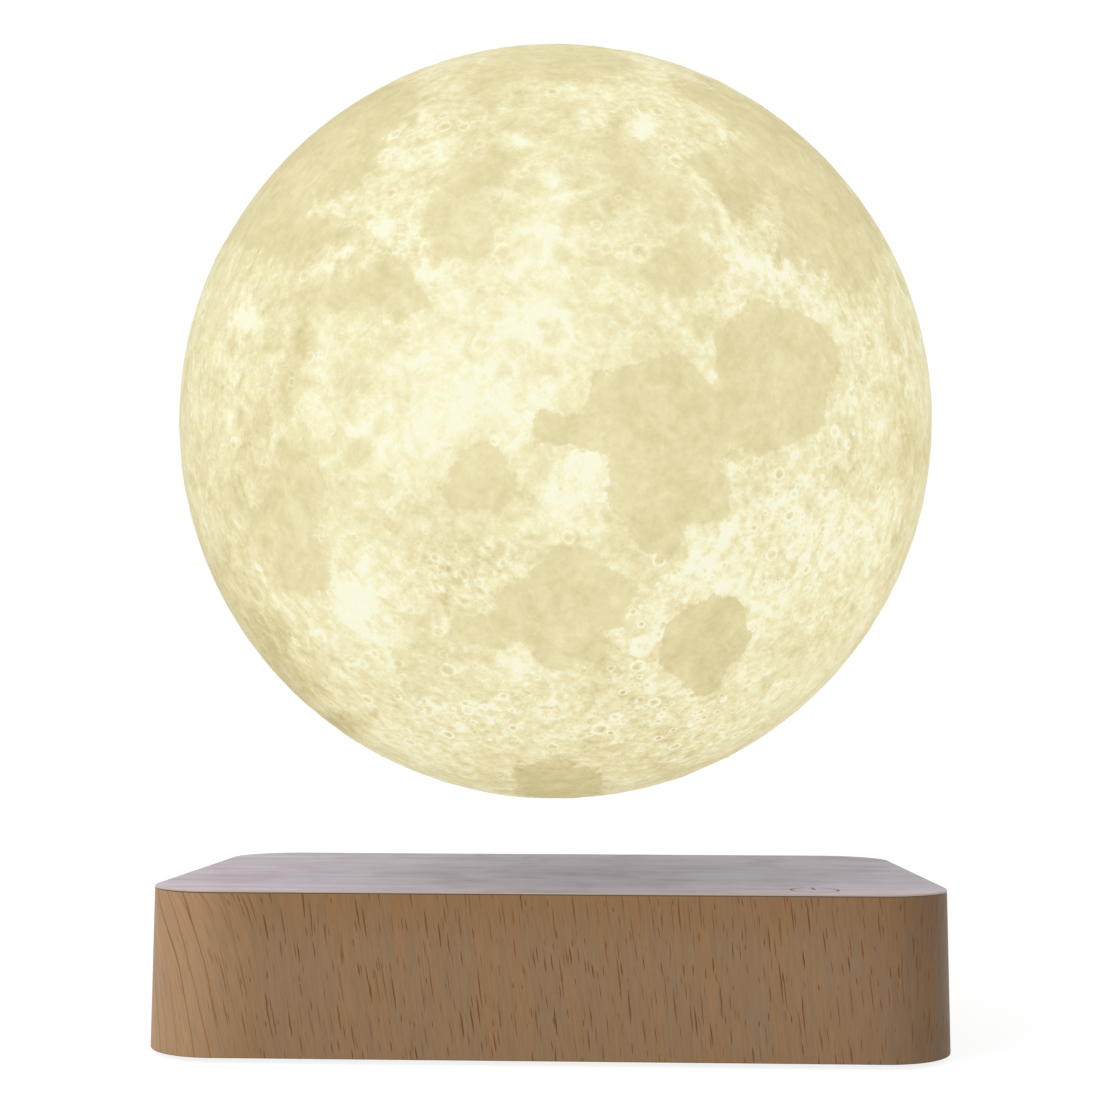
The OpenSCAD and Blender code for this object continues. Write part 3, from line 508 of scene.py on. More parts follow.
    @staticmethod
    def _pits() -> bpy.types.NodeTree:
        """Round pits with raised rims in cells of a Size in millimetres, in a share of the cells."""
        sheet, given, out = effect_group(
            "round_pits", {"Place": None, "Size": 3.0, "Share": 0.5},
            ("Floor", "Rim"),
        )
        spot = sheet.over(given["Place"], given["Size"])
        cell = sheet.cells(spot, 1.0)
        chance, reach, force = sheet.split(cell.outputs["Color"])
        taken = sheet.maths("LESS_THAN", chance, given["Share"])
        there = sheet.times(taken, sheet.total(0.35, sheet.times(force, 0.65)))
        radius = sheet.total(0.10, sheet.times(reach, 0.22))
        ratio = sheet.maths("DIVIDE", cell.outputs["Distance"], radius)
        floor = sheet.step(ratio, 0.35, 0.95, 1.0, 0.0)
        ring = sheet.step(sheet.maths("ABSOLUTE", sheet.less(ratio, 1.1)), 0.0, 0.38, 1.0, 0.0)
        sheet.feed(out["Floor"], sheet.times(floor, there))
        sheet.feed(out["Rim"], sheet.times(ring, there))
        return sheet.tree


# ------------------------------------------------------------------ finishes


class Metal(Enum):
    """Metals on the lamp: colour and roughness."""

    STEEL = ((196, 197, 200), 0.34)
    GILT = ((226, 184, 92), 0.26)
    TIN = ((206, 208, 210), 0.38)
    NICKEL = ((200, 198, 192), 0.20)


@dataclass(frozen=True)
class Finish:
    """A material: its name, and how its nodes are made."""

    name: str

    def make(self, effects: Effects) -> bpy.types.Material:
        """The material with its nodes.

        Args:
            effects: The shared node groups.

        Returns:
            The finished material.
        """
        made = bpy.data.materials.new(self.name)
        sheet = fresh_sheet(made)
        body = sheet.node("ShaderNodeBsdfPrincipled")
        self.wire(sheet, body, effects)
        leave = sheet.node("ShaderNodeOutputMaterial")
        sheet.feed(leave.inputs["Surface"], body.outputs[0])
        return made

    def wire(self, sheet: Sheet, body: Node, effects: Effects) -> None:
        """Joins the finish's nodes to its Principled BSDF."""
        raise NotImplementedError


@dataclass(frozen=True)
class GlobeFinish(Finish):
    """Printed shell of the globe, lit from inside: dark plains, bright land, pits and rays.

    radius, centre_height and layer_pitch are in millimetres. Each kind of pit has its cell size in
    millimetres, the share of cells that hold one, and how far its rim and its floor change the tone.
    """

    stops: tuple = (
        (0.00, (207, 195, 145)), (0.25, (223, 211, 162)), (0.38, (229, 218, 170)), (0.50, (235, 225, 179)),
        (0.63, (241, 232, 188)), (0.75, (246, 240, 198)), (0.88, (250, 247, 210)), (0.97, (252, 251, 224)),
    )
    land_tone: float = 0.60
    glow_gain: float = 0.80
    day_share: float = 0.22
    lit_share: float = 0.81
    # The rim's loss of glow is painted shade, and lean is painted light towards the right and the bottom
    painted_rim_shade: float = 0.15
    lean: float = 0.035
    cast_share: float = 0.08
    radius: float = 84.5
    centre_height: float = 133.5
    layer_pitch: float = 0.2
    pit_kinds: tuple = ((8.5, 0.45, 0.20, 0.16), (4.2, 0.60, 0.30, 0.16), (2.4, 0.65, 0.20, 0.12))

    def wire(self, sheet: Sheet, body: Node, effects: Effects) -> None:
        """Joins the finish's nodes to its Principled BSDF."""
        place = sheet.place()
        ragged = sheet.cloud(place, 0.34, 8.0, 0.68, 0.4)
        gain = sheet.total(1.3, sheet.times(sheet.attribute("soft"), 2.4))
        edge = sheet.total(sheet.attribute("plain"), sheet.about(ragged, gain))
        half = sheet.total(0.05, sheet.times(sheet.attribute("soft"), 0.45))
        inside = sheet.step(edge, sheet.less(0.5, half), sheet.total(0.5, half))
        land = sheet.less(1.0, inside)

        grit = sheet.cloud(place, 0.52, 4.0, 0.68, 0.1)
        lumps = sheet.cloud(place, 0.16, 5.0, 0.62, 0.8)
        fields = sheet.cloud(place, 0.055, 4.0, 0.55, 0.6)
        ridges = sheet.maths("ABSOLUTE", sheet.about(sheet.cloud(place, 0.22, 5.0, 0.62, 1.4), 2.0))
        crest = sheet.step(ridges, 0.0, 0.10, 1.0, 0.0)
        rims, floors = [], []
        for size, share, rim, floor in self.pit_kinds:
            pit = sheet.effect(effects.pits, {"Place": place, "Size": size, "Share": share})
            rims.append(sheet.times(pit.outputs["Rim"], rim))
            floors.append(sheet.times(pit.outputs["Floor"], -floor))
        rough = sheet.attribute("rough")
        ringed = sheet.total(1.0, sheet.step(rough, 1.0, 1.35, 0.0, 0.9))
        pitted = sheet.times(sheet.total(*rims, *floors), ringed)
        rough_tone = sheet.total(
            sheet.times(sheet.total(sheet.about(grit, 1.25), pitted), rough),
            sheet.about(lumps, 1.0), sheet.about(fields, 0.75), sheet.times(crest, 0.08),
        )
        specks = sheet.total(rims[1], sheet.times(floors[1], 0.4))
        calm_tone = sheet.total(
            sheet.about(grit, 0.55), sheet.about(lumps, 0.75), sheet.about(fields, 0.35),
            sheet.times(specks, 0.30), sheet.times(crest, 0.04)
        )
        texture = sheet.total(sheet.times(rough_tone, land), sheet.times(calm_tone, inside))

        bright = sheet.times(sheet.attribute("glow"), self.glow_gain)
        level = sheet.total(
            sheet.times(sheet.total(self.land_tone, bright), land),
            sheet.times(sheet.total(sheet.attribute("deep"), sheet.times(bright, 0.35)), inside),
        )
        tone = sheet.total(level, texture, sheet.times(sheet.attribute("relief"), 0.26))
        colour = sheet.ramp(tone, tuple((place_, paint(*value)) for place_, value in self.stops))
        day = sheet.blend(1.0, colour, (self.day_share, self.day_share, self.day_share, 1.0), "MULTIPLY")
        sheet.feed(body.inputs["Base Color"], day)
        sheet.feed(body.inputs["Emission Color"], colour)

        # Painted shade: the rim glows less; painted light: the right and the lower side glow a little more;
        # the glow that falls on the block is less than the eye sees
        turned = sheet.node("ShaderNodeLayerWeight").outputs["Facing"]
        limb = sheet.step(turned, 0.60, 1.0, 1.0, 1.0 - self.painted_rim_shade)
        east, _, rise = sheet.split(place)
        slope = sheet.less(east, sheet.less(rise, self.centre_height))
        limb = sheet.times(limb, sheet.total(1.0, sheet.times(slope, self.lean / self.radius)))
        seen = sheet.node("ShaderNodeLightPath").outputs["Is Camera Ray"]
        cast = sheet.total(self.cast_share, sheet.times(seen, self.lit_share - self.cast_share))
        sheet.feed(body.inputs["Emission Strength"], sheet.times(limb, cast))
        sheet.feed(body.inputs["Roughness"], sheet.step(grit, 0.2, 0.8, 0.62, 0.86))
        sheet.feed(body.inputs["Specular IOR Level"], 0.08)
        layers = sheet.maths("SINE", sheet.times(rise, 2 * math.pi / self.layer_pitch))
        height = sheet.total(texture, sheet.times(layers, 0.05))
        sheet.feed(body.inputs["Normal"], sheet.bump(height, 0.6 * MM, 0.6))


@dataclass(frozen=True)
class SideVeneer(Finish):
    """Upright veneer round the block: steep grain that leans, short red-brown pores, warm bands.

    Colours are on the 0 to 255 scale; turn_from and turn_to are places along the band, and
    ring_pitch the distance of the year rings, in millimetres; each lean is a slope.
    """

    warm: tuple = (161, 123, 86)
    plain: tuple = (154, 123, 91)
    grey: tuple = (150, 124, 95)
    pore: tuple = (124, 70, 26)
    crown: tuple = (148, 108, 68)
    corner_tone: tuple = (190, 154, 116)
    ring_line: tuple = (150, 94, 46)
    lean_left: float = 0.165
    lean_middle: float = 0.10
    lean_right: float = -0.13
    turn_from: float = 54.0
    turn_to: float = 88.0
    arch: float = 0.014
    ring_pitch: float = 3.4
    # The darker end of the band is painted shade
    painted_end_shade: float = 0.55
    knot: tuple = (52, 34, 26)

    def wire(self, sheet: Sheet, body: Node, effects: Effects) -> None:
        """Joins the finish's nodes to its Principled BSDF."""
        wrap = sheet.scaled(sheet.node("ShaderNodeUVMap", uv_map="wrap").outputs[0])
        along, height, _ = sheet.split(wrap)
        lean = sheet.total(
            sheet.step(along, -50.0, 30.0, self.lean_left, self.lean_middle),
            sheet.step(along, self.turn_from, self.turn_to, 0.0, self.lean_right - self.lean_middle),
        )
        bow = sheet.step(along, -96.0, -46.0, self.arch, 0.0)
        across = sheet.total(
            along, sheet.times(height, sheet.times(lean, sheet.step(along, -92.0, -60.0))),
            sheet.times(sheet.times(height, height), bow),
        )
        grain = sheet.effect(effects.grain, {
            "Place": sheet.join(across, height, 0.0),
            "Pore Length": 5.5, "Pore Width": 0.30, "Pore Share": 0.86, "Band Width": 4.0,
        })

        # Year rings show as thin arched lines near the left corner
        wobble = sheet.cloud(sheet.join(sheet.times(across, 0.1), sheet.times(height, 0.02), 3.0), 1.0, 2.0)
        ring = sheet.maths("PINGPONG", sheet.total(across, sheet.about(wobble, 9.0)), self.ring_pitch / 2)
        line = sheet.step(ring, 0.0, 0.30, 1.0, 0.0)
        corner = sheet.times(sheet.step(along, -70.0, -54.0, 1.0, 0.0), sheet.step(along, -130.0, -96.0))
        patches = sheet.cloud(sheet.join(across, sheet.times(height, 0.08), 9.0), 0.5, 2.0)
        patchy = sheet.step(patches, 0.35, 0.6)

        colour = sheet.ramp(grain.outputs["Bands"], (
            (0.30, paint(*self.grey)), (0.50, paint(*self.plain)), (0.68, paint(*self.warm)),
        ))
        crowned = sheet.blend(sheet.step(height, 20.0, 32.0, 0.0, 0.45), colour, paint(*self.crown))
        toned = sheet.blend(sheet.times(corner, 0.55), crowned, paint(*self.corner_tone))
        # Painted shade: the band darkens towards its right end, and brightens again round the corner
        dim = sheet.maths(
            "MAXIMUM", sheet.step(along, 52.0, 90.0, 1.0, self.painted_end_shade),
            sheet.step(along, 100.0, 135.0, self.painted_end_shade, 1.0),
        )
        fibre = sheet.times(sheet.step(grain.outputs["Fibre"], 0.30, 0.70, 0.92, 1.09), dim)
        shaded = sheet.scaled(toned, fibre)
        arch = sheet.times(sheet.times(line, corner), sheet.step(patchy, 0.0, 1.0, 0.35, 0.85))
        lined = sheet.blend(arch, shaded, paint(*self.ring_line))
        spots = sheet.times(grain.outputs["Pores"], sheet.step(corner, 0.0, 1.0, 1.0, 0.35))
        full = sheet.blend(sheet.times(spots, 0.95), lined, paint(*self.pore))
        knots = sheet.cells(sheet.join(across, height, 2.0), 0.03)
        knot = sheet.times(
            sheet.step(knots.outputs["Distance"], 0.008, 0.018, 1.0, 0.0),
            sheet.step(sheet.split(knots.outputs["Color"])[0], 0.6, 0.62),
        )
        sheet.feed(body.inputs["Base Color"], sheet.blend(knot, full, paint(*self.knot)))
        marks = sheet.effect(effects.handling, {"Place": sheet.place()})
        sheet.feed(body.inputs["Roughness"], sheet.step(marks.outputs["Smear"], 0.0, 1.0, 0.50, 0.60))
        sheet.feed(body.inputs["Specular IOR Level"], 0.22)
        dents = sheet.less(sheet.times(grain.outputs["Fibre"], 0.25), spots)
        sheet.feed(body.inputs["Normal"], sheet.bump(dents, 0.05 * MM))


@dataclass(frozen=True)
class TopVeneer(Finish):
    """Veneer on top, paler than the sides, with lengthwise grain, painted sheen, painted light and a painted
    shadow, and its cut edge over a dark glue line.

    Colours are on the 0 to 255 scale and lengths in millimetres; shade_at and shade_half are the
    middle and the half sizes of the painted shadow under the globe.
    """

    light: tuple = (204, 182, 160)
    dark: tuple = (180, 154, 130)
    # The sheen colours are a painted reflection of the lacquer
    painted_sheen_light: tuple = (192, 178, 190)
    painted_sheen_dark: tuple = (167, 152, 165)
    vein: tuple = (126, 106, 96)
    edge: tuple = (192, 176, 166)
    glue: tuple = (92, 74, 52)
    edge_low: float = 32.64
    half_width: float = 80.0
    half_depth: float = 50.0
    shade_at: tuple = (24.0, -24.0)
    shade_half: tuple = (46.0, 20.0)

    def wire(self, sheet: Sheet, body: Node, effects: Effects) -> None:
        """Joins the finish's nodes to its Principled BSDF."""
        place = sheet.place()
        x, y, z = sheet.split(place)
        grain = sheet.effect(effects.grain, {
            "Place": sheet.join(y, x, 7.0),
            "Pore Length": 5.0, "Pore Width": 0.24, "Pore Share": 0.55, "Band Width": 7.0,
        })
        # Painted reflection: seen at a low angle the base colour turns pale and cool, in place of the
        # lacquer's sheen
        painted_sheen_share = sheet.step(sheet.node("ShaderNodeLayerWeight").outputs["Facing"], 0.72, 0.90)
        bands = sheet.step(grain.outputs["Bands"], 0.30, 0.70)
        colour = sheet.blend(
            painted_sheen_share, sheet.blend(bands, paint(*self.dark), paint(*self.light)),
            sheet.blend(bands, paint(*self.painted_sheen_dark), paint(*self.painted_sheen_light)),
        )
        fibre = sheet.step(grain.outputs["Fibre"], 0.25, 0.75, 0.95, 1.04)
        # Painted light: the wood is brighter towards the left and towards the front edge
        left = sheet.step(x, -self.half_width, 0.1 * self.half_width, 1.20, 1.0)
        near = sheet.times(
            sheet.step(y, -self.half_depth, -0.4 * self.half_depth, 1.04, 1.0),
            sheet.step(y, -self.half_depth, -0.52 * self.half_depth, 1.16, 1.0),
        )
        # Painted shadow: the wood is a little darker under the globe
        off_x, off_y = (sheet.total(at, -middle) for at, middle in zip((x, y), self.shade_at))
        share_x, share_y = (sheet.times(off, 1 / half) for off, half in zip((off_x, off_y), self.shade_half))
        away = sheet.vector("LENGTH", sheet.join(share_x, share_y, 0.0))
        near = sheet.times(near, sheet.step(away, 0.2, 1.2, 0.92, 1.0))
        shaded = sheet.scaled(colour, sheet.times(fibre, sheet.times(left, near)))
        veined = sheet.blend(sheet.times(grain.outputs["Pores"], 0.35), shaded, paint(*self.vein))
        fleck = sheet.cells(place, 0.055)
        chance = sheet.split(fleck.outputs["Color"])[1]
        close_by = sheet.step(fleck.outputs["Distance"], 0.012, 0.03, 1.0, 0.0)
        dot = sheet.times(close_by, sheet.step(chance, 0.7, 0.72))
        dotted = sheet.blend(sheet.times(dot, 0.6), veined, paint(*self.vein))

        side = sheet.step(sheet.maths("ABSOLUTE", sheet.facing()[2]), 0.35, 0.6, 1.0, 0.0)
        low = sheet.step(z, self.edge_low - 0.06, self.edge_low + 0.06)
        cut = sheet.blend(low, paint(*self.glue), paint(*self.edge))
        sheet.feed(body.inputs["Base Color"], sheet.blend(side, dotted, cut))
        marks = sheet.effect(effects.handling, {"Place": place})
        sheet.feed(body.inputs["Roughness"], sheet.step(marks.outputs["Smear"], 0.0, 1.0, 0.38, 0.48))
        sheet.feed(body.inputs["Specular IOR Level"], 0.5)
        dents = sheet.less(sheet.times(grain.outputs["Fibre"], 0.3), sheet.times(grain.outputs["Pores"], 0.6))
        sheet.feed(body.inputs["Normal"], sheet.bump(dents, 0.04 * MM))


@dataclass(frozen=True)
class CoreWood(Finish):
    """Solid light wood of the block's core, with year rings along its length."""

    light: tuple = (205, 176, 136)
    dark: tuple = (172, 132, 90)
    pore: tuple = (120, 82, 50)

    def wire(self, sheet: Sheet, body: Node, effects: Effects) -> None:
        """Joins the finish's nodes to its Principled BSDF."""
        x, y, z = sheet.split(sheet.place())
        lying = sheet.join(sheet.total(y, z), x, 0.0)
        grain = sheet.effect(effects.grain, {"Place": lying, "Band Width": 3.0})
        bands = sheet.step(grain.outputs["Bands"], 0.35, 0.65)
        colour = sheet.blend(bands, paint(*self.dark), paint(*self.light))
        full = sheet.blend(sheet.times(grain.outputs["Pores"], 0.5), colour, paint(*self.pore))
        sheet.feed(body.inputs["Base Color"], full)
        sheet.feed(body.inputs["Roughness"], sheet.step(grain.outputs["Fibre"], 0.2, 0.8, 0.66, 0.82))
        sheet.feed(body.inputs["Normal"], sheet.bump(grain.outputs["Fibre"], 0.12 * MM))


@dataclass(frozen=True)
class Moulded(Finish):
    """Cast or moulded stuff: plastic, rubber, nylon, ceramic or resin.

    colour is on the 0 to 255 scale; grain is the size of its texture in millimetres; spread is
    how far its tone varies; shine is its roughness; glow is the light that it gives; smear is how
    far fingermarks change its roughness.
    """

    colour: tuple = (40, 40, 42)
    grain: float = 0.4
    depth: float = 0.04
    spread: float = 0.12
    shine: float = 0.5
    glow: float = 0.0
    smear: float = 0.14

    def wire(self, sheet: Sheet, body: Node, effects: Effects) -> None:
        """Joins the finish's nodes to its Principled BSDF."""
        place = sheet.place()
        skin = sheet.effect(effects.skin, {"Place": place, "Size": self.grain})
        marks = sheet.effect(effects.handling, {"Place": place})
        base = paint(*self.colour)
        dim = tuple(part * (1 - self.spread) for part in base[:3]) + (1.0,)
        lit = tuple(min(1.0, part * (1 + self.spread) + 0.004) for part in base[:3]) + (1.0,)
        toned = sheet.blend(skin.outputs["Tone"], dim, lit)
        lint = sheet.times(marks.outputs["Lint"], 0.25)
        sheet.feed(body.inputs["Base Color"], sheet.blend(lint, toned, paint(*LINT)))
        sheet.feed(body.inputs["Roughness"], sheet.step(
            marks.outputs["Smear"], 0.0, 1.0, self.shine - 0.4 * self.smear, self.shine + 0.6 * self.smear
        ))
        sheet.feed(body.inputs["Normal"], sheet.bump(skin.outputs["Height"], self.depth * MM))
        if self.glow > 0:
            sheet.feed(body.inputs["Emission Color"], toned)
            sheet.feed(body.inputs["Emission Strength"], self.glow)


@dataclass(frozen=True)
class Plated(Finish):
    """Plated or bare metal with fine turning marks."""

    metal: Metal = Metal.STEEL
    pitch: float = 0.2

    def wire(self, sheet: Sheet, body: Node, effects: Effects) -> None:
        """Joins the finish's nodes to its Principled BSDF."""
        colour, shine = self.metal.value
        brushing = sheet.effect(effects.brushing, {"Place": sheet.place(), "Pitch": self.pitch})
        base = paint(*colour)
        dim = tuple(part * 0.82 for part in base[:3]) + (1.0,)
        sheet.feed(body.inputs["Base Color"], sheet.blend(brushing.outputs["Rough"], dim, base))
        body.inputs["Metallic"].default_value = 1.0
        gloss = sheet.step(brushing.outputs["Rough"], 0.2, 0.8, shine - 0.08, shine + 0.12)
        sheet.feed(body.inputs["Roughness"], gloss)
        sheet.feed(body.inputs["Normal"], sheet.bump(brushing.outputs["Height"], 0.02 * MM))


@dataclass(frozen=True)
class CopperWire(Finish):
    """Varnished copper wire, wound in rings about Z and in layers along it."""

    wire_d: float = 0.45
    dark: tuple = (176, 92, 44)
    light: tuple = (206, 124, 66)
    gap: tuple = (70, 32, 14)

    def wire(self, sheet: Sheet, body: Node, effects: Effects) -> None:
        """Joins the finish's nodes to its Principled BSDF."""
        x, y, z = sheet.split(sheet.place())
        radius = sheet.vector("LENGTH", sheet.join(x, y, 0.0))
        flat = sheet.step(sheet.maths("ABSOLUTE", sheet.facing()[2]), 0.4, 0.7)
        run = sheet.total(sheet.times(radius, flat), sheet.times(z, sheet.less(1.0, flat)))
        turn = sheet.maths("ABSOLUTE", sheet.maths("SINE", sheet.times(run, math.pi / self.wire_d)))
        tone = sheet.cloud(sheet.place(), 0.4, 3.0, 0.6)
        bare = sheet.blend(tone, paint(*self.dark), paint(*self.light))
        # The dark gaps between the turns are painted shade
        between = sheet.step(turn, 0.0, 0.35, 0.75, 0.0)
        sheet.feed(body.inputs["Base Color"], sheet.blend(between, bare, paint(*self.gap)))
        body.inputs["Metallic"].default_value = 0.9
        sheet.feed(body.inputs["Roughness"], sheet.step(tone, 0.2, 0.8, 0.26, 0.42))
        sheet.feed(body.inputs["Normal"], sheet.bump(turn, 0.15 * MM))


@dataclass(frozen=True)
class CircuitBoard(Finish):
    """Solder mask over copper tracks, with bare pads."""

    mask: tuple = (18, 84, 48)
    track: tuple = (30, 112, 66)
    pad: tuple = (196, 190, 170)

    def wire(self, sheet: Sheet, body: Node, effects: Effects) -> None:
        """Joins the finish's nodes to its Principled BSDF."""
        place = sheet.place()
        paths = sheet.cells(place, 0.42, "DISTANCE_TO_EDGE")
        paths.inputs["Randomness"].default_value = 0.35
        track = sheet.step(paths.outputs["Distance"], 0.10, 0.13, 1.0, 0.0)
        pads = sheet.cells(place, 0.30)
        pads.inputs["Randomness"].default_value = 0.6
        chance = sheet.split(pads.outputs["Color"])[0]
        disc = sheet.step(pads.outputs["Distance"], 0.12, 0.14, 1.0, 0.0)
        pad = sheet.times(disc, sheet.step(chance, 0.55, 0.57))
        base = sheet.blend(track, paint(*self.mask), paint(*self.track))
        sheet.feed(body.inputs["Base Color"], sheet.blend(pad, base, paint(*self.pad)))
        sheet.feed(body.inputs["Roughness"], sheet.step(pad, 0.0, 1.0, 0.32, 0.45))
        sheet.feed(body.inputs["Normal"], sheet.bump(sheet.total(track, pad), 0.04 * MM))


@dataclass(frozen=True)
class SleevedCan(Finish):
    """Capacitor can: a plain sleeve with a bare metal top."""

    sleeve: tuple = (34, 44, 92)
    worn: tuple = (52, 62, 116)
    lid: tuple = (190, 192, 195)

    def wire(self, sheet: Sheet, body: Node, effects: Effects) -> None:
        """Joins the finish's nodes to its Principled BSDF."""
        place = sheet.place()
        top = sheet.step(sheet.facing()[2], 0.6, 0.8)
        skin = sheet.effect(effects.skin, {"Place": place})
        sleeve = sheet.blend(skin.outputs["Tone"], paint(*self.sleeve), paint(*self.worn))
        sheet.feed(body.inputs["Base Color"], sheet.blend(top, sleeve, paint(*self.lid)))
        sheet.feed(body.inputs["Metallic"], top)
        sheet.feed(body.inputs["Roughness"], sheet.step(skin.outputs["Tone"], 0.2, 0.8, 0.3, 0.42))
        sheet.feed(body.inputs["Normal"], sheet.bump(skin.outputs["Height"], 0.02 * MM))


# ------------------------------------------------------------------ camera


@dataclass(frozen=True)
class Viewpoint:
    """The photograph's camera: its place in millimetres, its turns in radians, its frame in pixels."""

    place: tuple[float, float, float] = (12.45, -379.34, 64.58)
    yaw: float = 0.0358
    pitch: float = 0.1065
    roll: float = -0.0032
    focal_px: float = 1671.6
    frame_px: int = 1100
    sensor_mm: float = 36.0

    def axes(self) -> tuple[Vector, Vector, Vector]:
        """The camera's right, up and forward directions."""
        turn, rise = self.yaw, self.pitch
        forward = Vector((-math.sin(turn) * math.cos(rise), math.cos(turn) * math.cos(rise), math.sin(rise)))
        right = Vector((math.cos(turn), math.sin(turn), 0.0))
        up = right.cross(forward)
        tilt = Matrix.Rotation(self.roll, 3, forward)
        return tilt @ right, tilt @ up, forward

    def pixels(self, points: np.ndarray) -> np.ndarray:
        """Pixel coordinates of points in metres, one row each, in the photograph's frame."""
        right, up, forward = (np.array(axis) for axis in self.axes())
        away = points / MM - np.array(self.place)
        depth = away @ forward
        x = self.frame_px / 2 + self.focal_px * (away @ right) / depth
        y = self.frame_px / 2 - self.focal_px * (away @ up) / depth
        return np.stack([x, y], axis=1)

    def set_up(self) -> None:
        """Makes the scene's camera."""
        data = bpy.data.cameras.new("photo_camera")
        data.sensor_width = self.sensor_mm
        data.lens = self.focal_px / self.frame_px * self.sensor_mm
        data.clip_start = 0.01
        data.clip_end = 50.0
        camera = bpy.data.objects.new("photo_camera", data)
        bpy.context.scene.collection.objects.link(camera)
        right, up, forward = self.axes()
        camera.matrix_world = Matrix.Translation(Vector(self.place) * MM) @ Matrix(
            (right, up, -forward)
        ).transposed().to_4x4()
        bpy.context.scene.camera = camera


# ------------------------------------------------------------------ globe


@dataclass(frozen=True)
class Plain:
    """A dark plain: its tone, how soft its edge is, and its outline in the photograph's pixels."""

    tone: float
    soft: float
    outline: tuple[tuple[int, int], ...]


@dataclass(frozen=True)
class Glow:
    """A bright or dark spot: centre, half width and half height in pixels, and what it adds."""

    x: int
    y: int
    wide: int
    high: int
    adds: float


@dataclass(frozen=True)
class Ray:
    """A bright streak between two pixels, with its width and what it adds."""

    start: tuple[int, int]
    end: tuple[int, int]
    wide: float
    adds: float


# Outlines, spots and rays, in the photograph's pixels
PLAINS = (
    # round plain, low right
    Plain(0.31, 0.00, ((689, 604), (711, 598), (731, 600), (744, 612), (752, 632), (747, 649), (735, 664),
                 (724, 680), (713, 692), (696, 697), (688, 685), (673, 677), (663, 667), (658, 649),
                 (661, 632), (671, 618))),
    # great plain, right of the middle
    Plain(0.40, 0.05, ((754, 299), (779, 304), (802, 315), (822, 330), (840, 352), (837, 367), (827, 393),
                 (825, 425), (804, 438), (779, 453), (757, 455), (731, 448), (721, 458), (722, 473),
                 (734, 486), (731, 498), (732, 516), (716, 520), (691, 523), (681, 541), (668, 564),
                 (655, 553), (640, 545), (622, 520), (606, 498), (608, 478), (609, 462), (590, 452),
                 (562, 450), (534, 447), (528, 428), (540, 412), (560, 414), (584, 411), (587, 390),
                 (590, 370), (616, 367), (641, 362), (668, 356), (690, 366), (702, 380), (714, 386),
                 (716, 370), (714, 352), (721, 333), (732, 316))),
    # its lower arm
    Plain(0.41, 0.10, ((540, 561), (555, 551), (578, 546), (600, 549), (613, 571), (634, 581), (641, 592),
                 (630, 606), (622, 620), (607, 640), (603, 656), (588, 664), (562, 669), (541, 668),
                 (533, 655), (516, 645), (490, 649), (462, 646), (450, 636), (451, 624), (470, 618),
                 (495, 608), (492, 595), (502, 584), (525, 578))),
    # middle plain
    Plain(0.42, 0.25, ((450, 448), (477, 443), (500, 448), (505, 463), (518, 481), (515, 497), (500, 511),
                 (476, 513), (455, 516), (442, 503), (434, 492), (447, 475), (457, 460))),
    # low left plain
    Plain(0.42, 0.45, ((283, 443), (306, 450), (325, 480), (327, 511), (314, 531), (328, 561), (338, 573),
                 (326, 590), (297, 599), (278, 586), (261, 566), (248, 541), (244, 516), (266, 493))),
    # upper plain
    Plain(0.44, 0.60, ((450, 161), (480, 151), (500, 148), (528, 151), (525, 166), (500, 176), (490, 191),
                 (503, 201), (490, 221), (500, 242), (482, 262), (462, 254), (437, 252), (424, 231),
                 (422, 211), (432, 191), (440, 176))),
    # plain under the bright ridge, upper left
    Plain(0.44, 0.55, ((372, 267), (392, 259), (412, 274), (432, 294), (435, 307), (417, 312), (399, 320),
                 (382, 310), (356, 307), (326, 312), (301, 307), (296, 292), (311, 282), (331, 284))),
    # plain along the upper left limb
    Plain(0.37, 0.55, ((417, 90), (417, 116), (399, 125), (387, 146), (369, 161), (359, 184), (341, 194),
                 (316, 203), (308, 216), (329, 221), (351, 231), (326, 247), (300, 266), (273, 262),
                 (248, 249), (226, 246), (205, 238), (232, 195), (262, 158), (296, 128), (326, 104),
                 (356, 88), (390, 78))),
    # plain along the upper right limb
    Plain(0.34, 0.60, ((681, 76), (716, 84), (749, 95), (785, 117), (818, 142), (845, 173), (870, 208),
                 (888, 245), (880, 262), (878, 282), (860, 294), (837, 289), (825, 274), (807, 267),
                 (782, 259), (774, 247), (789, 236), (782, 211), (772, 201), (759, 204), (752, 221),
                 (741, 229), (726, 211), (711, 191), (700, 176), (681, 168), (688, 150), (716, 146),
                 (736, 136), (720, 116), (700, 104), (676, 96))),
    # mottled plains, upper middle
    Plain(0.46, 0.80, ((616, 133), (640, 146), (655, 168), (681, 181), (691, 201), (682, 226), (668, 216),
                 (650, 214), (636, 193), (616, 186), (603, 168), (602, 148))),
    Plain(0.44, 0.55, ((681, 231), (701, 240), (716, 252), (727, 264), (716, 283), (697, 288), (681, 307),
                 (666, 298), (651, 283), (641, 267), (660, 257), (668, 240))),
    # plain at the top limb
    Plain(0.42, 0.70, ((462, 70), (500, 52), (560, 42), (610, 46), (640, 60), (606, 76), (560, 82),
                 (520, 84), (498, 92), (500, 112), (520, 122), (560, 118), (548, 134), (506, 128),
                 (484, 116), (476, 96))),
    # plain at the bottom limb
    Plain(0.20, 0.30, ((510, 768), (545, 762), (585, 764), (604, 776), (600, 796), (560, 804), (520, 796))),
)

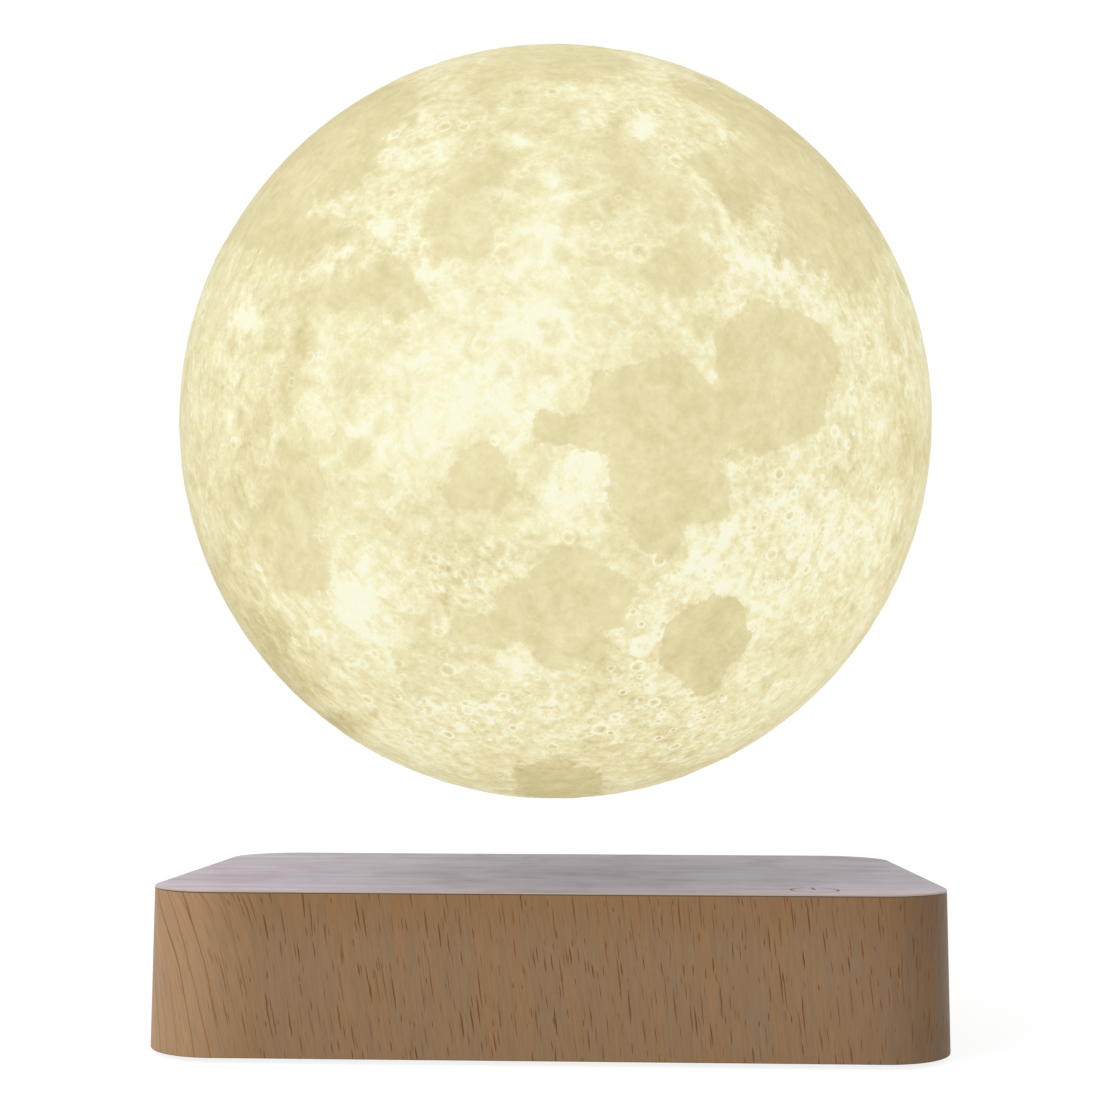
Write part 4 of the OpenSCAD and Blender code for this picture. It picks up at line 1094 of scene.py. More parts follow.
GLOWS = (
    # broad bright land, left of the middle
    Glow(480, 375, 120, 92, 0.34), Glow(545, 225, 34, 70, 0.24), Glow(560, 330, 46, 60, 0.18),
    Glow(365, 440, 70, 46, 0.12), Glow(575, 490, 34, 40, 0.22), Glow(545, 520, 30, 22, 0.14),
    Glow(352, 606, 34, 30, 0.36), Glow(518, 664, 19, 17, 0.34), Glow(800, 520, 74, 66, 0.22),
    Glow(712, 574, 30, 20, 0.30), Glow(640, 650, 18, 34, 0.14), Glow(760, 600, 40, 26, 0.16),
    Glow(400, 480, 60, 60, 0.08),
    # bright spots
    Glow(248, 322, 11, 12, 0.60), Glow(422, 277, 8, 8, 0.50), Glow(382, 229, 10, 10, 0.40),
    Glow(648, 123, 14, 10, 0.62), Glow(697, 297, 7, 7, 0.60), Glow(743, 257, 22, 9, 0.34),
    Glow(711, 347, 8, 12, 0.40), Glow(707, 401, 5, 8, 0.45), Glow(402, 158, 14, 9, 0.26),
    Glow(518, 141, 5, 5, 0.45), Glow(424, 112, 8, 10, 0.22), Glow(585, 122, 5, 5, 0.4),
    Glow(767, 187, 6, 6, 0.32), Glow(555, 176, 13, 12, 0.28), Glow(820, 318, 14, 8, 0.30),
    Glow(842, 334, 9, 16, 0.26), Glow(263, 251, 5, 5, 0.45), Glow(253, 545, 6, 6, 0.4),
    Glow(590, 470, 11, 12, 0.30), Glow(723, 138, 4, 4, 0.4), Glow(232, 418, 7, 10, 0.18),
    Glow(513, 450, 6, 7, 0.35), Glow(440, 620, 12, 8, 0.2), Glow(248, 384, 6, 6, 0.2),
    Glow(520, 85, 12, 5, 0.3), Glow(660, 100, 10, 6, 0.2), Glow(870, 350, 14, 30, 0.14),
    # darker patches in the land; the tall, narrow ones along the left and lower left limb are painted limb
    # shade
    Glow(305, 340, 13, 18, -0.34), Glow(266, 350, 9, 8, -0.20), Glow(352, 374, 18, 26, -0.20),
    Glow(282, 385, 24, 44, -0.16), Glow(631, 178, 10, 9, -0.30), Glow(676, 216, 9, 10, -0.26),
    Glow(594, 219, 22, 8, -0.30), Glow(704, 322, 12, 14, -0.26), Glow(590, 688, 15, 6, -0.34),
    Glow(636, 700, 15, 9, -0.34), Glow(637, 677, 5, 5, -0.34), Glow(666, 703, 5, 4, -0.36),
    Glow(691, 753, 8, 5, -0.36), Glow(595, 731, 8, 5, -0.22), Glow(666, 768, 20, 11, -0.28),
    Glow(905, 450, 14, 40, -0.36), Glow(838, 480, 16, 16, -0.26), Glow(852, 609, 4, 4, -0.36),
    Glow(895, 541, 4, 8, -0.34), Glow(867, 572, 8, 4, -0.24), Glow(245, 476, 30, 22, -0.24),
    Glow(192, 520, 15, 42, -0.26), Glow(215, 568, 14, 30, -0.22), Glow(262, 622, 14, 28, -0.24),
    Glow(297, 690, 24, 22, -0.60), Glow(341, 722, 26, 14, -0.66), Glow(279, 652, 16, 28, -0.30),
    Glow(373, 712, 5, 4, -0.36), Glow(393, 734, 4, 3, -0.3),
    Glow(413, 645, 3, 3, -0.36), Glow(314, 682, 4, 4, -0.3), Glow(447, 607, 18, 8, -0.26),
    Glow(458, 657, 12, 8, -0.2), Glow(450, 541, 12, 10, -0.22), Glow(470, 300, 22, 18, -0.12),
    Glow(346, 260, 16, 8, -0.2), Glow(180, 420, 16, 70, -0.12), Glow(400, 86, 12, 5, -0.3),
    Glow(262, 645, 42, 62, -0.26), Glow(232, 570, 24, 50, -0.30), Glow(896, 600, 16, 40, -0.22),
    Glow(400, 102, 22, 12, -0.24), Glow(515, 559, 12, 12, -0.14), Glow(600, 786, 14, 10, -0.20),
    Glow(888, 278, 6, 10, -0.3), Glow(540, 776, 40, 14, -0.2), Glow(620, 132, 18, 14, -0.12),
)

ROUGHNESS = (
    Glow(480, 375, 130, 105, -0.36), Glow(545, 230, 46, 80, -0.24), Glow(365, 470, 90, 60, -0.20),
    Glow(780, 540, 90, 95, 0.50), Glow(640, 650, 55, 70, 0.50), Glow(560, 722, 150, 36, 0.45),
    Glow(700, 735, 80, 45, 0.35), Glow(410, 150, 48, 60, 0.25), Glow(400, 240, 60, 40, 0.40),
    Glow(770, 290, 100, 50, 0.35), Glow(650, 120, 50, 40, 0.15), Glow(230, 380, 60, 120, 0.15),
    Glow(400, 720, 120, 50, 0.20), Glow(470, 570, 60, 36, 0.45), Glow(860, 420, 40, 100, 0.25),
)

RAYS = (
    Ray((681, 572), (712, 561), 4.0, 0.35), Ray((712, 561), (727, 531), 4.0, 0.35),
    Ray((727, 531), (737, 516), 3.5, 0.30), Ray((248, 551), (273, 596), 3.0, 0.30),
    Ray((273, 596), (300, 622), 3.0, 0.26), Ray((382, 229), (306, 276), 5.0, 0.22),
    Ray((382, 229), (412, 206), 5.0, 0.20), Ray((382, 229), (404, 262), 4.0, 0.20),
    Ray((743, 257), (698, 176), 4.0, 0.28), Ray((743, 257), (835, 310), 7.0, 0.22),
    Ray((352, 606), (420, 572), 5.0, 0.20), Ray((352, 606), (392, 668), 5.0, 0.18),
    Ray((352, 606), (372, 530), 5.0, 0.14), Ray((352, 606), (430, 612), 4.0, 0.14),
    Ray((352, 606), (306, 640), 4.0, 0.14), Ray((352, 606), (346, 676), 4.0, 0.14),
    Ray((236, 520), (290, 600), 2.5, 0.30), Ray((290, 600), (345, 660), 2.5, 0.20),
    Ray((620, 62), (624, 108), 3.0, 0.16),
    Ray((430, 120), (446, 172), 7.0, 0.14), Ray((388, 176), (430, 150), 8.0, 0.16),
)

RING_PITS = (
    (515, 559, 7), (530, 537, 6), (447, 569, 6), (458, 582, 6), (437, 584, 5), (306, 468, 5),
    (476, 566, 5), (488, 548, 5), (470, 545, 4), (500, 572, 5), (465, 600, 5), (482, 590, 4),
    (674, 430, 5), (870, 430, 6), (756, 588, 5), (726, 652, 4), (608, 560, 5), (630, 478, 5),
    (560, 700, 7), (640, 735, 7), (700, 735, 8), (745, 690, 6), (420, 700, 6), (350, 660, 6),
)


@dataclass
class Globe:
    """The printed globe: a thin shell with an opening at its foot, and the cap that closes it.

    cells counts faces along a cube's edge, screw_at is a screw's distance from the axis, and over is
    how far a cutting rod runs past what it cuts.
    """

    view: Viewpoint
    wall: float = 1.8 * MM
    seam: float = 0.02 * MM
    cells: int = 120
    inner_cells: int = 32
    pit_count: int = 520
    pit_least: float = 0.9 * MM
    pit_most: float = 4.6 * MM
    most_relief: float = 0.42 * MM
    plain_drop: float = 0.14 * MM
    screw_recess: float = 2.4 * MM
    screw_sink: float = 3.0 * MM
    screw_at: float = 36.2 * MM
    screw_bore: float = 1.45 * MM
    post_radius: float = 3.0 * MM
    rod_sides: int = 48
    over: float = 1.0 * MM
    hidden_spots: int = 26
    centre: Vector = field(init=False)
    radius: float = field(init=False)
    mouth_radius: float = field(init=False)

    def __post_init__(self) -> None:
        """Takes the globe's centre, radius and opening from the frame."""
        low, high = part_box("moon_shell")
        self.radius = (high[0] - low[0]) / 2
        self.centre = Vector((0.0, 0.0, high[2] - self.radius))
        drop = self.centre.z - low[2]
        self.mouth_radius = math.sqrt(self.radius ** 2 - drop ** 2)

    def _ball(self, name: str, radius: float, cells: int) -> Piece:
        """Sphere of even square faces, made from a cube.

        Args:
            name: The object's name.
            radius: Radius in metres.
            cells: Faces along each of the cube's edges, a multiple of 4.

        Returns:
            The object, in object mode.
        """
        only()
        bpy.ops.mesh.primitive_cube_add(size=2 * radius, location=self.centre)
        ball = bpy.context.active_object
        ball.name = name
        seat(ball)
        edit(ball, everything=True)
        bpy.ops.mesh.subdivide(number_cuts=3)
        bpy.ops.mesh.subdivide(number_cuts=cells // 4 - 1)
        leave_edit()
        spots = self._spots(ball) - np.array(self.centre)
        spots = np.tan(spots / radius * math.pi / 4)
        spots *= radius / np.linalg.norm(spots, axis=1, keepdims=True)
        self._move(ball, spots + np.array(self.centre))
        return ball

    @staticmethod
    def _spots(piece: Piece) -> np.ndarray:
        """A piece's vertices, one row each."""
        flat = np.empty(3 * len(piece.data.vertices))
        piece.data.vertices.foreach_get("co", flat)
        return flat.reshape(-1, 3)

    @staticmethod
    def _move(piece: Piece, spots: np.ndarray) -> None:
        """Moves a piece's vertices to the given rows."""
        piece.data.vertices.foreach_set("co", spots.reshape(-1))
        piece.data.update()

    def _trim(self, ball: Piece, level: float, keep_top: bool) -> None:
        """Cuts a ball at a level and keeps one side of it."""
        edit(ball, everything=True)
        bpy.ops.mesh.bisect(
            plane_co=(0.0, 0.0, level), plane_no=(0.0, 0.0, 1.0),
            clear_inner=keep_top, clear_outer=not keep_top,
        )
        leave_edit()

    def _level(self, radius: float, at: float) -> float:
        """Height at which a ball of a radius is as wide as another radius, on its lower side."""
        return self.centre.z - math.sqrt(radius ** 2 - at ** 2)

    def _walled(self, name: str, keep_top: bool, mouth: float) -> Piece:
        """Outer and inner skins, cut at the mouth and bridged into one closed wall.

        Args:
            name: The object's name.
            keep_top: True for the shell above the mouth, False for the cap below it.
            mouth: Radius of the cut, in metres.

        Returns:
            The closed wall.
        """
        inner_radius = self.radius - self.wall
        outer = self._ball(name, self.radius, self.cells)
        inner = self._ball(name + "_inner", inner_radius, self.inner_cells)
        self._trim(outer, self._level(self.radius, mouth), keep_top)
        self._trim(inner, self._level(inner_radius, mouth), keep_top)
        edit(inner, everything=True)
        bpy.ops.mesh.flip_normals()
        only(inner, outer)
        bpy.ops.object.join()
        edit(outer, "EDGE")
        pick(outer, "edges", lambda edge: edge.is_boundary)
        bpy.ops.mesh.bridge_edge_loops()
        leave_edit()
        return outer

    # -------------------------------------------------------------- surface

    @staticmethod
    def _inside(points: np.ndarray, outline: Sequence[tuple[int, int]]) -> np.ndarray:
        """Distance in pixels of points inside an outline, negative outside it."""
        corners = np.array(outline, float)
        following = np.roll(corners, -1, axis=0)
        nearest = np.full(len(points), np.inf)
        inside = np.zeros(len(points), bool)
        for start, end in zip(corners, following):
            run = end - start
            away = points - start
            share = np.clip(away @ run / (run @ run), 0.0, 1.0)
            nearest = np.minimum(nearest, np.linalg.norm(away - share[:, None] * run, axis=1))
            crosses = (start[1] > points[:, 1]) != (end[1] > points[:, 1])
            slope = (points[:, 1] - start[1]) / (run[1] if run[1] else 1.0)
            inside ^= crosses & (points[:, 0] < start[0] + slope * run[0])
        return np.where(inside, nearest, -nearest)

    @staticmethod
    def _add_spots(values: np.ndarray, pixels: np.ndarray, front: np.ndarray, items: Sequence[Glow]) -> None:
        """Adds soft oval spots to values at points.

        Args:
            values: One value for each point, changed in place.
            pixels: Where the photograph shows each point.
            front: How far each point lies on the side that the photograph shows.
            items: The spots.
        """
        for item in items:
            far = ((pixels[:, 0] - item.x) / item.wide) ** 2 + ((pixels[:, 1] - item.y) / item.high) ** 2
            values += item.adds * np.exp(-0.9 * far) * front

    def _fields(self, spots: np.ndarray) -> dict[str, np.ndarray]:
        """The globe's features at points on its surface.

        Args:
            spots: Points in metres, one row each.

        Returns:
            Arrays by name: "plain" 0 to 1, "deep" the plain's tone, "soft" how soft its edge is,
            "glow" added tone, "rough" how strong its fine texture is, and "relief" from -1 in a
            pit to 1 on a rim.
        """
        chance = random.Random(SEED)
        # Without a seed of its own, the vector noise would start from the clock
        noise.seed_set(SEED)
        ways = (spots - np.array(self.centre)) / self.radius
        wander = np.array([
            noise.noise_vector(Vector(way) * 14.0) * 1.0 + noise.noise_vector(Vector(way) * 34.0) * 0.5
            for way in ways
        ])
        eye = (np.array(self.view.place) * MM - np.array(self.centre))
        eye_way = eye / np.linalg.norm(eye)
        front = shape(ways @ eye_way, 0.10, 0.24)
        pixels = self.view.pixels(spots) + 5.0 * wander[:, :2]

        plain = np.zeros(len(spots))
        weight = np.full(len(spots), 1e-6)
        deep = weight * 0.42
        soft = weight * 0.5
        for item in PLAINS:
            mask = shape(self._inside(pixels, item.outline), -15.0, 15.0) * front
            plain = np.maximum(plain, mask)
            deep += mask * item.tone
            soft += mask * item.soft
            weight += mask

        glow = np.zeros(len(spots))
        self._add_spots(glow, pixels, front, GLOWS)
        for item in RAYS:
            start = np.array(item.start, float)
            run = np.array(item.end, float) - start
            share = np.clip((pixels - start) @ run / (run @ run), 0.0, 1.0)
            far = np.linalg.norm(pixels - start - share[:, None] * run, axis=1)
            glow += item.adds * np.exp(-(far / item.wide) ** 2) * front

        rough = np.full(len(spots), 0.80)
        self._add_spots(rough, pixels, front, ROUGHNESS)
        rough *= 1.0 - 0.45 * np.exp(-(((ways @ eye_way - 0.2) / 0.16) ** 2))

        # The side that the photograph hides: plains and bright spots of its own
        back = 1.0 - front
        lumpy = ways + 0.10 * wander
        lumpy /= np.linalg.norm(lumpy, axis=1, keepdims=True)
        for _ in range(self.hidden_spots):
            way = Vector((chance.gauss(0, 1), chance.gauss(0.6, 1), chance.gauss(0, 0.8))).normalized()
            size = chance.uniform(0.10, 0.34)
            tone = chance.uniform(0.32, 0.46)
            angle = np.arccos(np.clip(lumpy @ np.array(way), -1, 1))
            if chance.random() < 0.6:
                mask = shape(size - angle, -0.05, 0.05) * back
                plain = np.maximum(plain, mask)
                deep += mask * tone
                soft += mask * 0.4
                weight += mask
            else:
                glow += 0.4 * np.exp(-((angle / (0.5 * size)) ** 2)) * back
        return {
            "plain": plain,
            "deep": deep / weight,
            "soft": soft / weight,
            "glow": np.clip(glow, -0.6, 0.8),
            "rough": np.clip(rough, 0.2, 1.6),
            "relief": self._pits(spots, plain, chance),
        }

    def _pits(self, spots: np.ndarray, plain: np.ndarray, chance: random.Random) -> np.ndarray:
        """Height of pits and their rims at points on the surface, from -1 to 1.

        Args:
            spots: Points in metres, one row each.
            plain: How far each point lies in a plain.
            chance: The seeded source of places and sizes.

        Returns:
            One height for each point.
        """
        tree = kdtree.KDTree(len(spots))
        for index, spot in enumerate(spots):
            tree.insert(spot, index)
        tree.balance()
        pits = []
        for _ in range(self.pit_count):
            way = Vector((chance.gauss(0, 1), chance.gauss(0, 1), chance.gauss(0, 1))).normalized()
            size = self.pit_least * (self.pit_most / self.pit_least) ** (chance.random() ** 2.4)
            pits.append((self.centre + way * self.radius, size, chance.uniform(0.35, 0.9)))
        for x, y, size in RING_PITS:
            spot = self._under(x, y)
            pits.append((spot, size / 4.6 * MM, 1.3))
        height = np.zeros(len(spots))
        for spot, size, force in pits:
            near = tree.find_range(spot, 1.6 * size)
            for _, index, far in near:
                ratio = far / size
                bowl = (ratio * ratio - 1.0) if ratio < 1.0 else 0.0
                rim = math.exp(-(((ratio - 1.05) / 0.24) ** 2))
                height[index] += force * (1.0 - 0.6 * plain[index]) * (0.8 * bowl + 0.75 * rim)
        return np.clip(height, -1.6, 1.6)

    def _under(self, x: float, y: float) -> Vector:
        """Point of the globe's front that a pixel of the photograph shows."""
        right, up, forward = self.view.axes()
        half = self.view.frame_px / 2
        aside, down = (x - half) / self.view.focal_px, (y - half) / self.view.focal_px
        way = (forward + right * aside - up * down).normalized()
        eye = Vector(self.view.place) * MM - self.centre
        along = eye.dot(way)
        root = along * along - eye.length_squared + self.radius ** 2
        return self.centre + eye + way * (-along - math.sqrt(max(0.0, root)))

    def _surface(self, piece: Piece) -> None:
        """Raises and sinks a piece's outer skin and stores its features for the shader."""
        spots = self._spots(piece)
        ways = spots - np.array(self.centre)
        far = np.linalg.norm(ways, axis=1)
        outer = far > self.radius - 0.3 * MM
        fields = self._fields(spots)
        lift = 0.5 * self.most_relief * fields["relief"] - self.plain_drop * shape(fields["plain"], 0.4, 0.6)
        swell = np.array([noise.fractal(Vector(spot) / (5.0 * MM), 1.0, 2.0, 3) for spot in spots])
        lift += 0.09 * MM * swell * (1.0 - 0.7 * fields["plain"])
        lift = np.clip(lift, -self.most_relief, self.most_relief)
        self._move(piece, spots + np.where(outer, lift, 0.0)[:, None] * ways / far[:, None])
        for name, values in fields.items():
            layer = piece.data.attributes.new(name, "FLOAT", "POINT")
            layer.data.foreach_set("value", values.astype(np.float32))

    def _rod(self, name: str, x: float, radius: float, low: float, high: float) -> Piece:
        """Upright rod on the X axis between two levels, used to add or to cut."""
        only()
        bpy.ops.mesh.primitive_cylinder_add(
            vertices=self.rod_sides, radius=radius, depth=high - low, location=(x, 0.0, (low + high) / 2)
        )
        rod = bpy.context.active_object
        rod.name = name
        seat(rod)
        return rod

    def shell(self) -> Piece:
        """The globe's shell, open at its foot."""
        piece = self._walled("globe_shell", True, self.mouth_radius - self.seam)
        self._surface(piece)
        smooth(piece, 50)
        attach(piece, "moon")
        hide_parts("moon_shell")
        return piece

    def cap(self) -> Piece:
        """The cap under the globe, with its two screw posts and their recesses."""
        piece = self._walled("globe_cap", False, self.mouth_radius - 2 * self.seam)
        self._surface(piece)
        skin = self._level(self.radius, self.screw_at)
        bearing = skin + self.screw_sink
        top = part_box("moon_cap")[1][2]
        for side in (-1, 1):
            x = side * self.screw_at
            cut_with(piece, self._rod("post", x, self.post_radius, skin + self.over, top), "UNION")
            cut_with(piece, self._rod("recess", x, self.screw_recess, skin - 4 * self.over, bearing))
            cut_with(piece, self._rod("bore", x, self.screw_bore, bearing - self.over, top + self.over))
        smooth(piece, 50)
        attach(piece, "moon")
        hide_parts("moon_cap")
        return piece


# ------------------------------------------------------------------ block


@dataclass
class Block:
    """The wooden block's visible parts, as copies of the frame's solids with worked edges."""

    frame: dict
    rim_round: float = 0.22 * MM
    foot_round: float = 0.5 * MM
    foot_sides: int = 72
    plate_round: float = 0.2 * MM
    corner: float = 15.0 * MM

    def copy_of(self, node: str, name: str) -> Piece:
        """Merged copy of a frame node, which the copy stands for.

        Args:
            node: The frame node.
            name: The copy's name.

        Returns:
            The copy, riding on the base.
        """
        source = self.frame["nodes"][node]
        piece = source.copy()
        piece.data = source.data.copy()
        piece.parent = None
        piece.matrix_world = Matrix.Identity(4)
        for key in list(piece.keys()):
            del piece[key]
        piece.name = name
        bpy.context.scene.collection.objects.link(piece)
        edit(piece, everything=True)
        bpy.ops.mesh.remove_doubles(threshold=0.002 * MM)
        bpy.ops.mesh.dissolve_limited(angle_limit=math.radians(0.5))
        close(piece)
        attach(piece, "base")
        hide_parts(node)
        return piece

    def side(self) -> Piece:
        """Veneer band round the sides, with its lower edge eased and a map that wraps round it."""
        piece = self.copy_of("side_veneer", "side_band")
        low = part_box("side_veneer")[0]
        self._ease_rim(piece, low[2])
        self._wrap(piece)
        flatten_shading(piece)
        return piece

    def top(self) -> Piece:
        """Veneer sheet on top, with its upper rim eased."""
        piece = self.copy_of("top_veneer", "top_sheet")
        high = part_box("top_veneer")[1]
        self._ease_rim(piece, high[2])
        flatten_shading(piece)
        return piece

    def _ease_rim(self, piece: Piece, level: float) -> None:
        """Rounds the edges of the block's outer outline at a level."""
        edit(piece, "EDGE")
        pick(piece, "edges", lambda edge: self._on_rim(edge, level))
        bpy.ops.mesh.bevel(offset=self.rim_round, segments=3, affect="EDGES")
        leave_edit()

    def _on_rim(self, edge: bmesh.types.BMEdge, level: float) -> bool:
        """True for an edge of the block's outer outline at a level."""
        level_edge = all(abs(vert.co.z - level) <= 0.01 * MM for vert in edge.verts)
        if not level_edge or len(edge.link_faces) != 2:
            return False
        outer = all(abs(self._inset(vert.co)) < 0.02 * MM for vert in edge.verts)
        return outer and abs(edge.calc_face_angle(0.0)) > 0.5

    def _inset(self, spot: Vector) -> float:
        """Distance of a point inside the block's rounded outline in plan."""
        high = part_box("top_veneer")[1]
        x = abs(spot.x) - (high[0] - self.corner)
        y = abs(spot.y) - (high[1] - self.corner)
        if x > 0 and y > 0:
            return self.corner - math.hypot(x, y)
        return self.corner - max(x, y)

    def _wrap(self, piece: Piece) -> None:
        """Maps the band: U runs round from the middle of its front to a seam at the back left, V runs up."""
        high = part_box("top_veneer")[1]
        half_w, half_d, bend = high[0] - self.corner, high[1] - self.corner, self.corner
        quarter = bend * math.pi / 2
        layer = piece.data.uv_layers.new(name="wrap")
        for polygon in piece.data.polygons:
            middle = polygon.center
            side = math.copysign(1.0, middle.x)
            if abs(middle.x) < half_w:
                if middle.y < 0:
                    side = 0.0
                elif middle.y > half_d - 0.5 * MM:
                    side = 1.0
            for corner in polygon.loop_indices:
                spot = piece.data.vertices[piece.data.loops[corner].vertex_index].co
                way = side if side else math.copysign(1.0, spot.x)
                x, y = way * spot.x, spot.y
                if y < -half_d and x <= half_w:
                    run = x
                elif y < -half_d:
                    run = half_w + bend * math.atan2(x - half_w, -half_d - y)
                elif y <= half_d:
                    run = half_w + quarter + (y + half_d)
                elif x > half_w:
                    run = half_w + quarter + 2 * half_d + bend * math.atan2(y - half_d, x - half_w)
                else:
                    run = half_w + 2 * quarter + 2 * half_d + (half_w - x)
                layer.data[corner].uv = (way * run, spot.z)

    def plate(self) -> Piece:
        """Bottom plate with eased edges."""
        piece = self.copy_of("bottom_plate", "base_plate")
        round_edges(piece, self.plate_round, 2)
        flatten_shading(piece)
        return piece

    def foot(self, number: int) -> Piece:
        """Rubber foot: a turned disc with a rounded rim and a dished tread.

        Args:
            number: The foot's number, 1 to 4.

        Returns:
            The foot.
        """
        node = f"foot_{number}"
        low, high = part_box(node)
        radius = (high[0] - low[0]) / 2
        middle_x, middle_y, middle_z = ((low[i] + high[i]) / 2 for i in range(3))
        only()
        bpy.ops.mesh.primitive_cylinder_add(
            vertices=self.foot_sides, radius=radius, depth=high[2] - low[2],
            location=(middle_x, middle_y, middle_z),
        )
        piece = bpy.context.active_object
        piece.name = f"rubber_foot_{number}"
        seat(piece)
        edit(piece, "FACE")
        pick(piece, "faces", lambda face: face.normal.z < -0.9)
        bpy.ops.mesh.inset(thickness=0.30 * radius)
        bpy.ops.mesh.inset(thickness=0.04 * radius, depth=-0.2 * MM)
        bpy.ops.mesh.select_mode(type="EDGE")
        bpy.ops.mesh.select_all(action="DESELECT")
        pick(piece, "edges", lambda edge: all(
            abs(vert.co.z - low[2]) < 0.01 * MM
            and math.hypot(vert.co.x - middle_x, vert.co.y - middle_y) > 0.97 * radius
            for vert in edge.verts
        ))
        bpy.ops.mesh.bevel(offset=self.foot_round, segments=4, affect="EDGES")
        leave_edit()
        smooth(piece)
        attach(piece, "base")
        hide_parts(node)
        return piece

    def eased(self, node: str, name: str, width: float) -> Piece:
        """Copy of a small part with its edges rounded by a width."""
        piece = self.copy_of(node, name)
        round_edges(piece, width, 2)
        flatten_shading(piece)
        return piece


# ------------------------------------------------------------------ studio


@dataclass(frozen=True)
class Studio:
    """White floor, white surroundings and one soft lamp from the left front."""

    ambient: float = 0.62
    key_watts: float = 6.0
    key_from: tuple[float, float, float] = (-0.61, -0.61, 0.51)
    key_far: float = 1.3
    key_size: float = 0.7
    floor_size: float = 12.0

    @staticmethod
    def _seen(sheet: Sheet) -> Socket:
        """1 for rays from the camera and those that metal or glass sends on."""
        path = sheet.node("ShaderNodeLightPath").outputs
        both = sheet.maths("MAXIMUM", path["Is Camera Ray"], path["Is Glossy Ray"])
        return sheet.maths("MAXIMUM", both, path["Is Transmission Ray"])

    def floor(self) -> None:
        """Floor that reads as white and keeps a faint shadow of the lamp."""
        only()
        bpy.ops.mesh.primitive_grid_add(x_subdivisions=8, y_subdivisions=8, size=self.floor_size)
        floor = bpy.context.active_object
        floor.name = "studio_floor"
        made = bpy.data.materials.new("studio_floor")
        sheet = fresh_sheet(made)
        bounce = sheet.node("ShaderNodeBsdfDiffuse")
        bounce.inputs["Color"].default_value = (0.80, 0.80, 0.80, 1.0)
        faint = sheet.node("ShaderNodeBsdfDiffuse")
        faint.inputs["Color"].default_value = (0.26, 0.26, 0.26, 1.0)
        white = sheet.node("ShaderNodeEmission")
        white.inputs["Strength"].default_value = 0.86
        lit = sheet.node("ShaderNodeAddShader")
        sheet.feed(lit.inputs[0], faint.outputs[0])
        sheet.feed(lit.inputs[1], white.outputs[0])
        mixed = sheet.node("ShaderNodeMixShader")
        sheet.feed(mixed.inputs[0], self._seen(sheet))
        sheet.feed(mixed.inputs[1], bounce.outputs[0])
        sheet.feed(mixed.inputs[2], lit.outputs[0])
        # Seen from below the floor is clear, so that the block's underside shows
        clear = sheet.node("ShaderNodeMixShader")
        sheet.feed(clear.inputs[0], sheet.node("ShaderNodeNewGeometry").outputs["Backfacing"])
        sheet.feed(clear.inputs[1], mixed.outputs[0])
        sheet.feed(clear.inputs[2], sheet.node("ShaderNodeBsdfTransparent").outputs[0])
        sheet.feed(sheet.node("ShaderNodeOutputMaterial").inputs["Surface"], clear.outputs[0])
        floor.data.materials.append(made)

    def surroundings(self) -> None:
        """White world: full white where it is seen, plain soft light elsewhere."""
        world = bpy.data.worlds.new("studio")
        bpy.context.scene.world = world
        sheet = fresh_sheet(world)
        back = sheet.node("ShaderNodeBackground")
        back.inputs["Color"].default_value = (1.0, 1.0, 1.0, 1.0)
        seen = self._seen(sheet)
        sheet.feed(back.inputs["Strength"], sheet.total(self.ambient, sheet.times(seen, 1.0 - self.ambient)))
        sheet.feed(sheet.node("ShaderNodeOutputWorld").inputs["Surface"], back.outputs[0])

    def key(self) -> None:
        """Soft lamp from the left front."""
        data = bpy.data.lights.new("key_lamp", "AREA")
        data.shape = "DISK"
        data.size = self.key_size
        data.energy = self.key_watts
        lamp = bpy.data.objects.new("key_lamp", data)
        bpy.context.scene.collection.objects.link(lamp)
        way = Vector(self.key_from).normalized()
        lamp.location = way * self.key_far + Vector((0.0, 0.0, 0.08))
        lamp.rotation_euler = way.to_track_quat("Z", "Y").to_euler()


# ------------------------------------------------------------------ the lamp


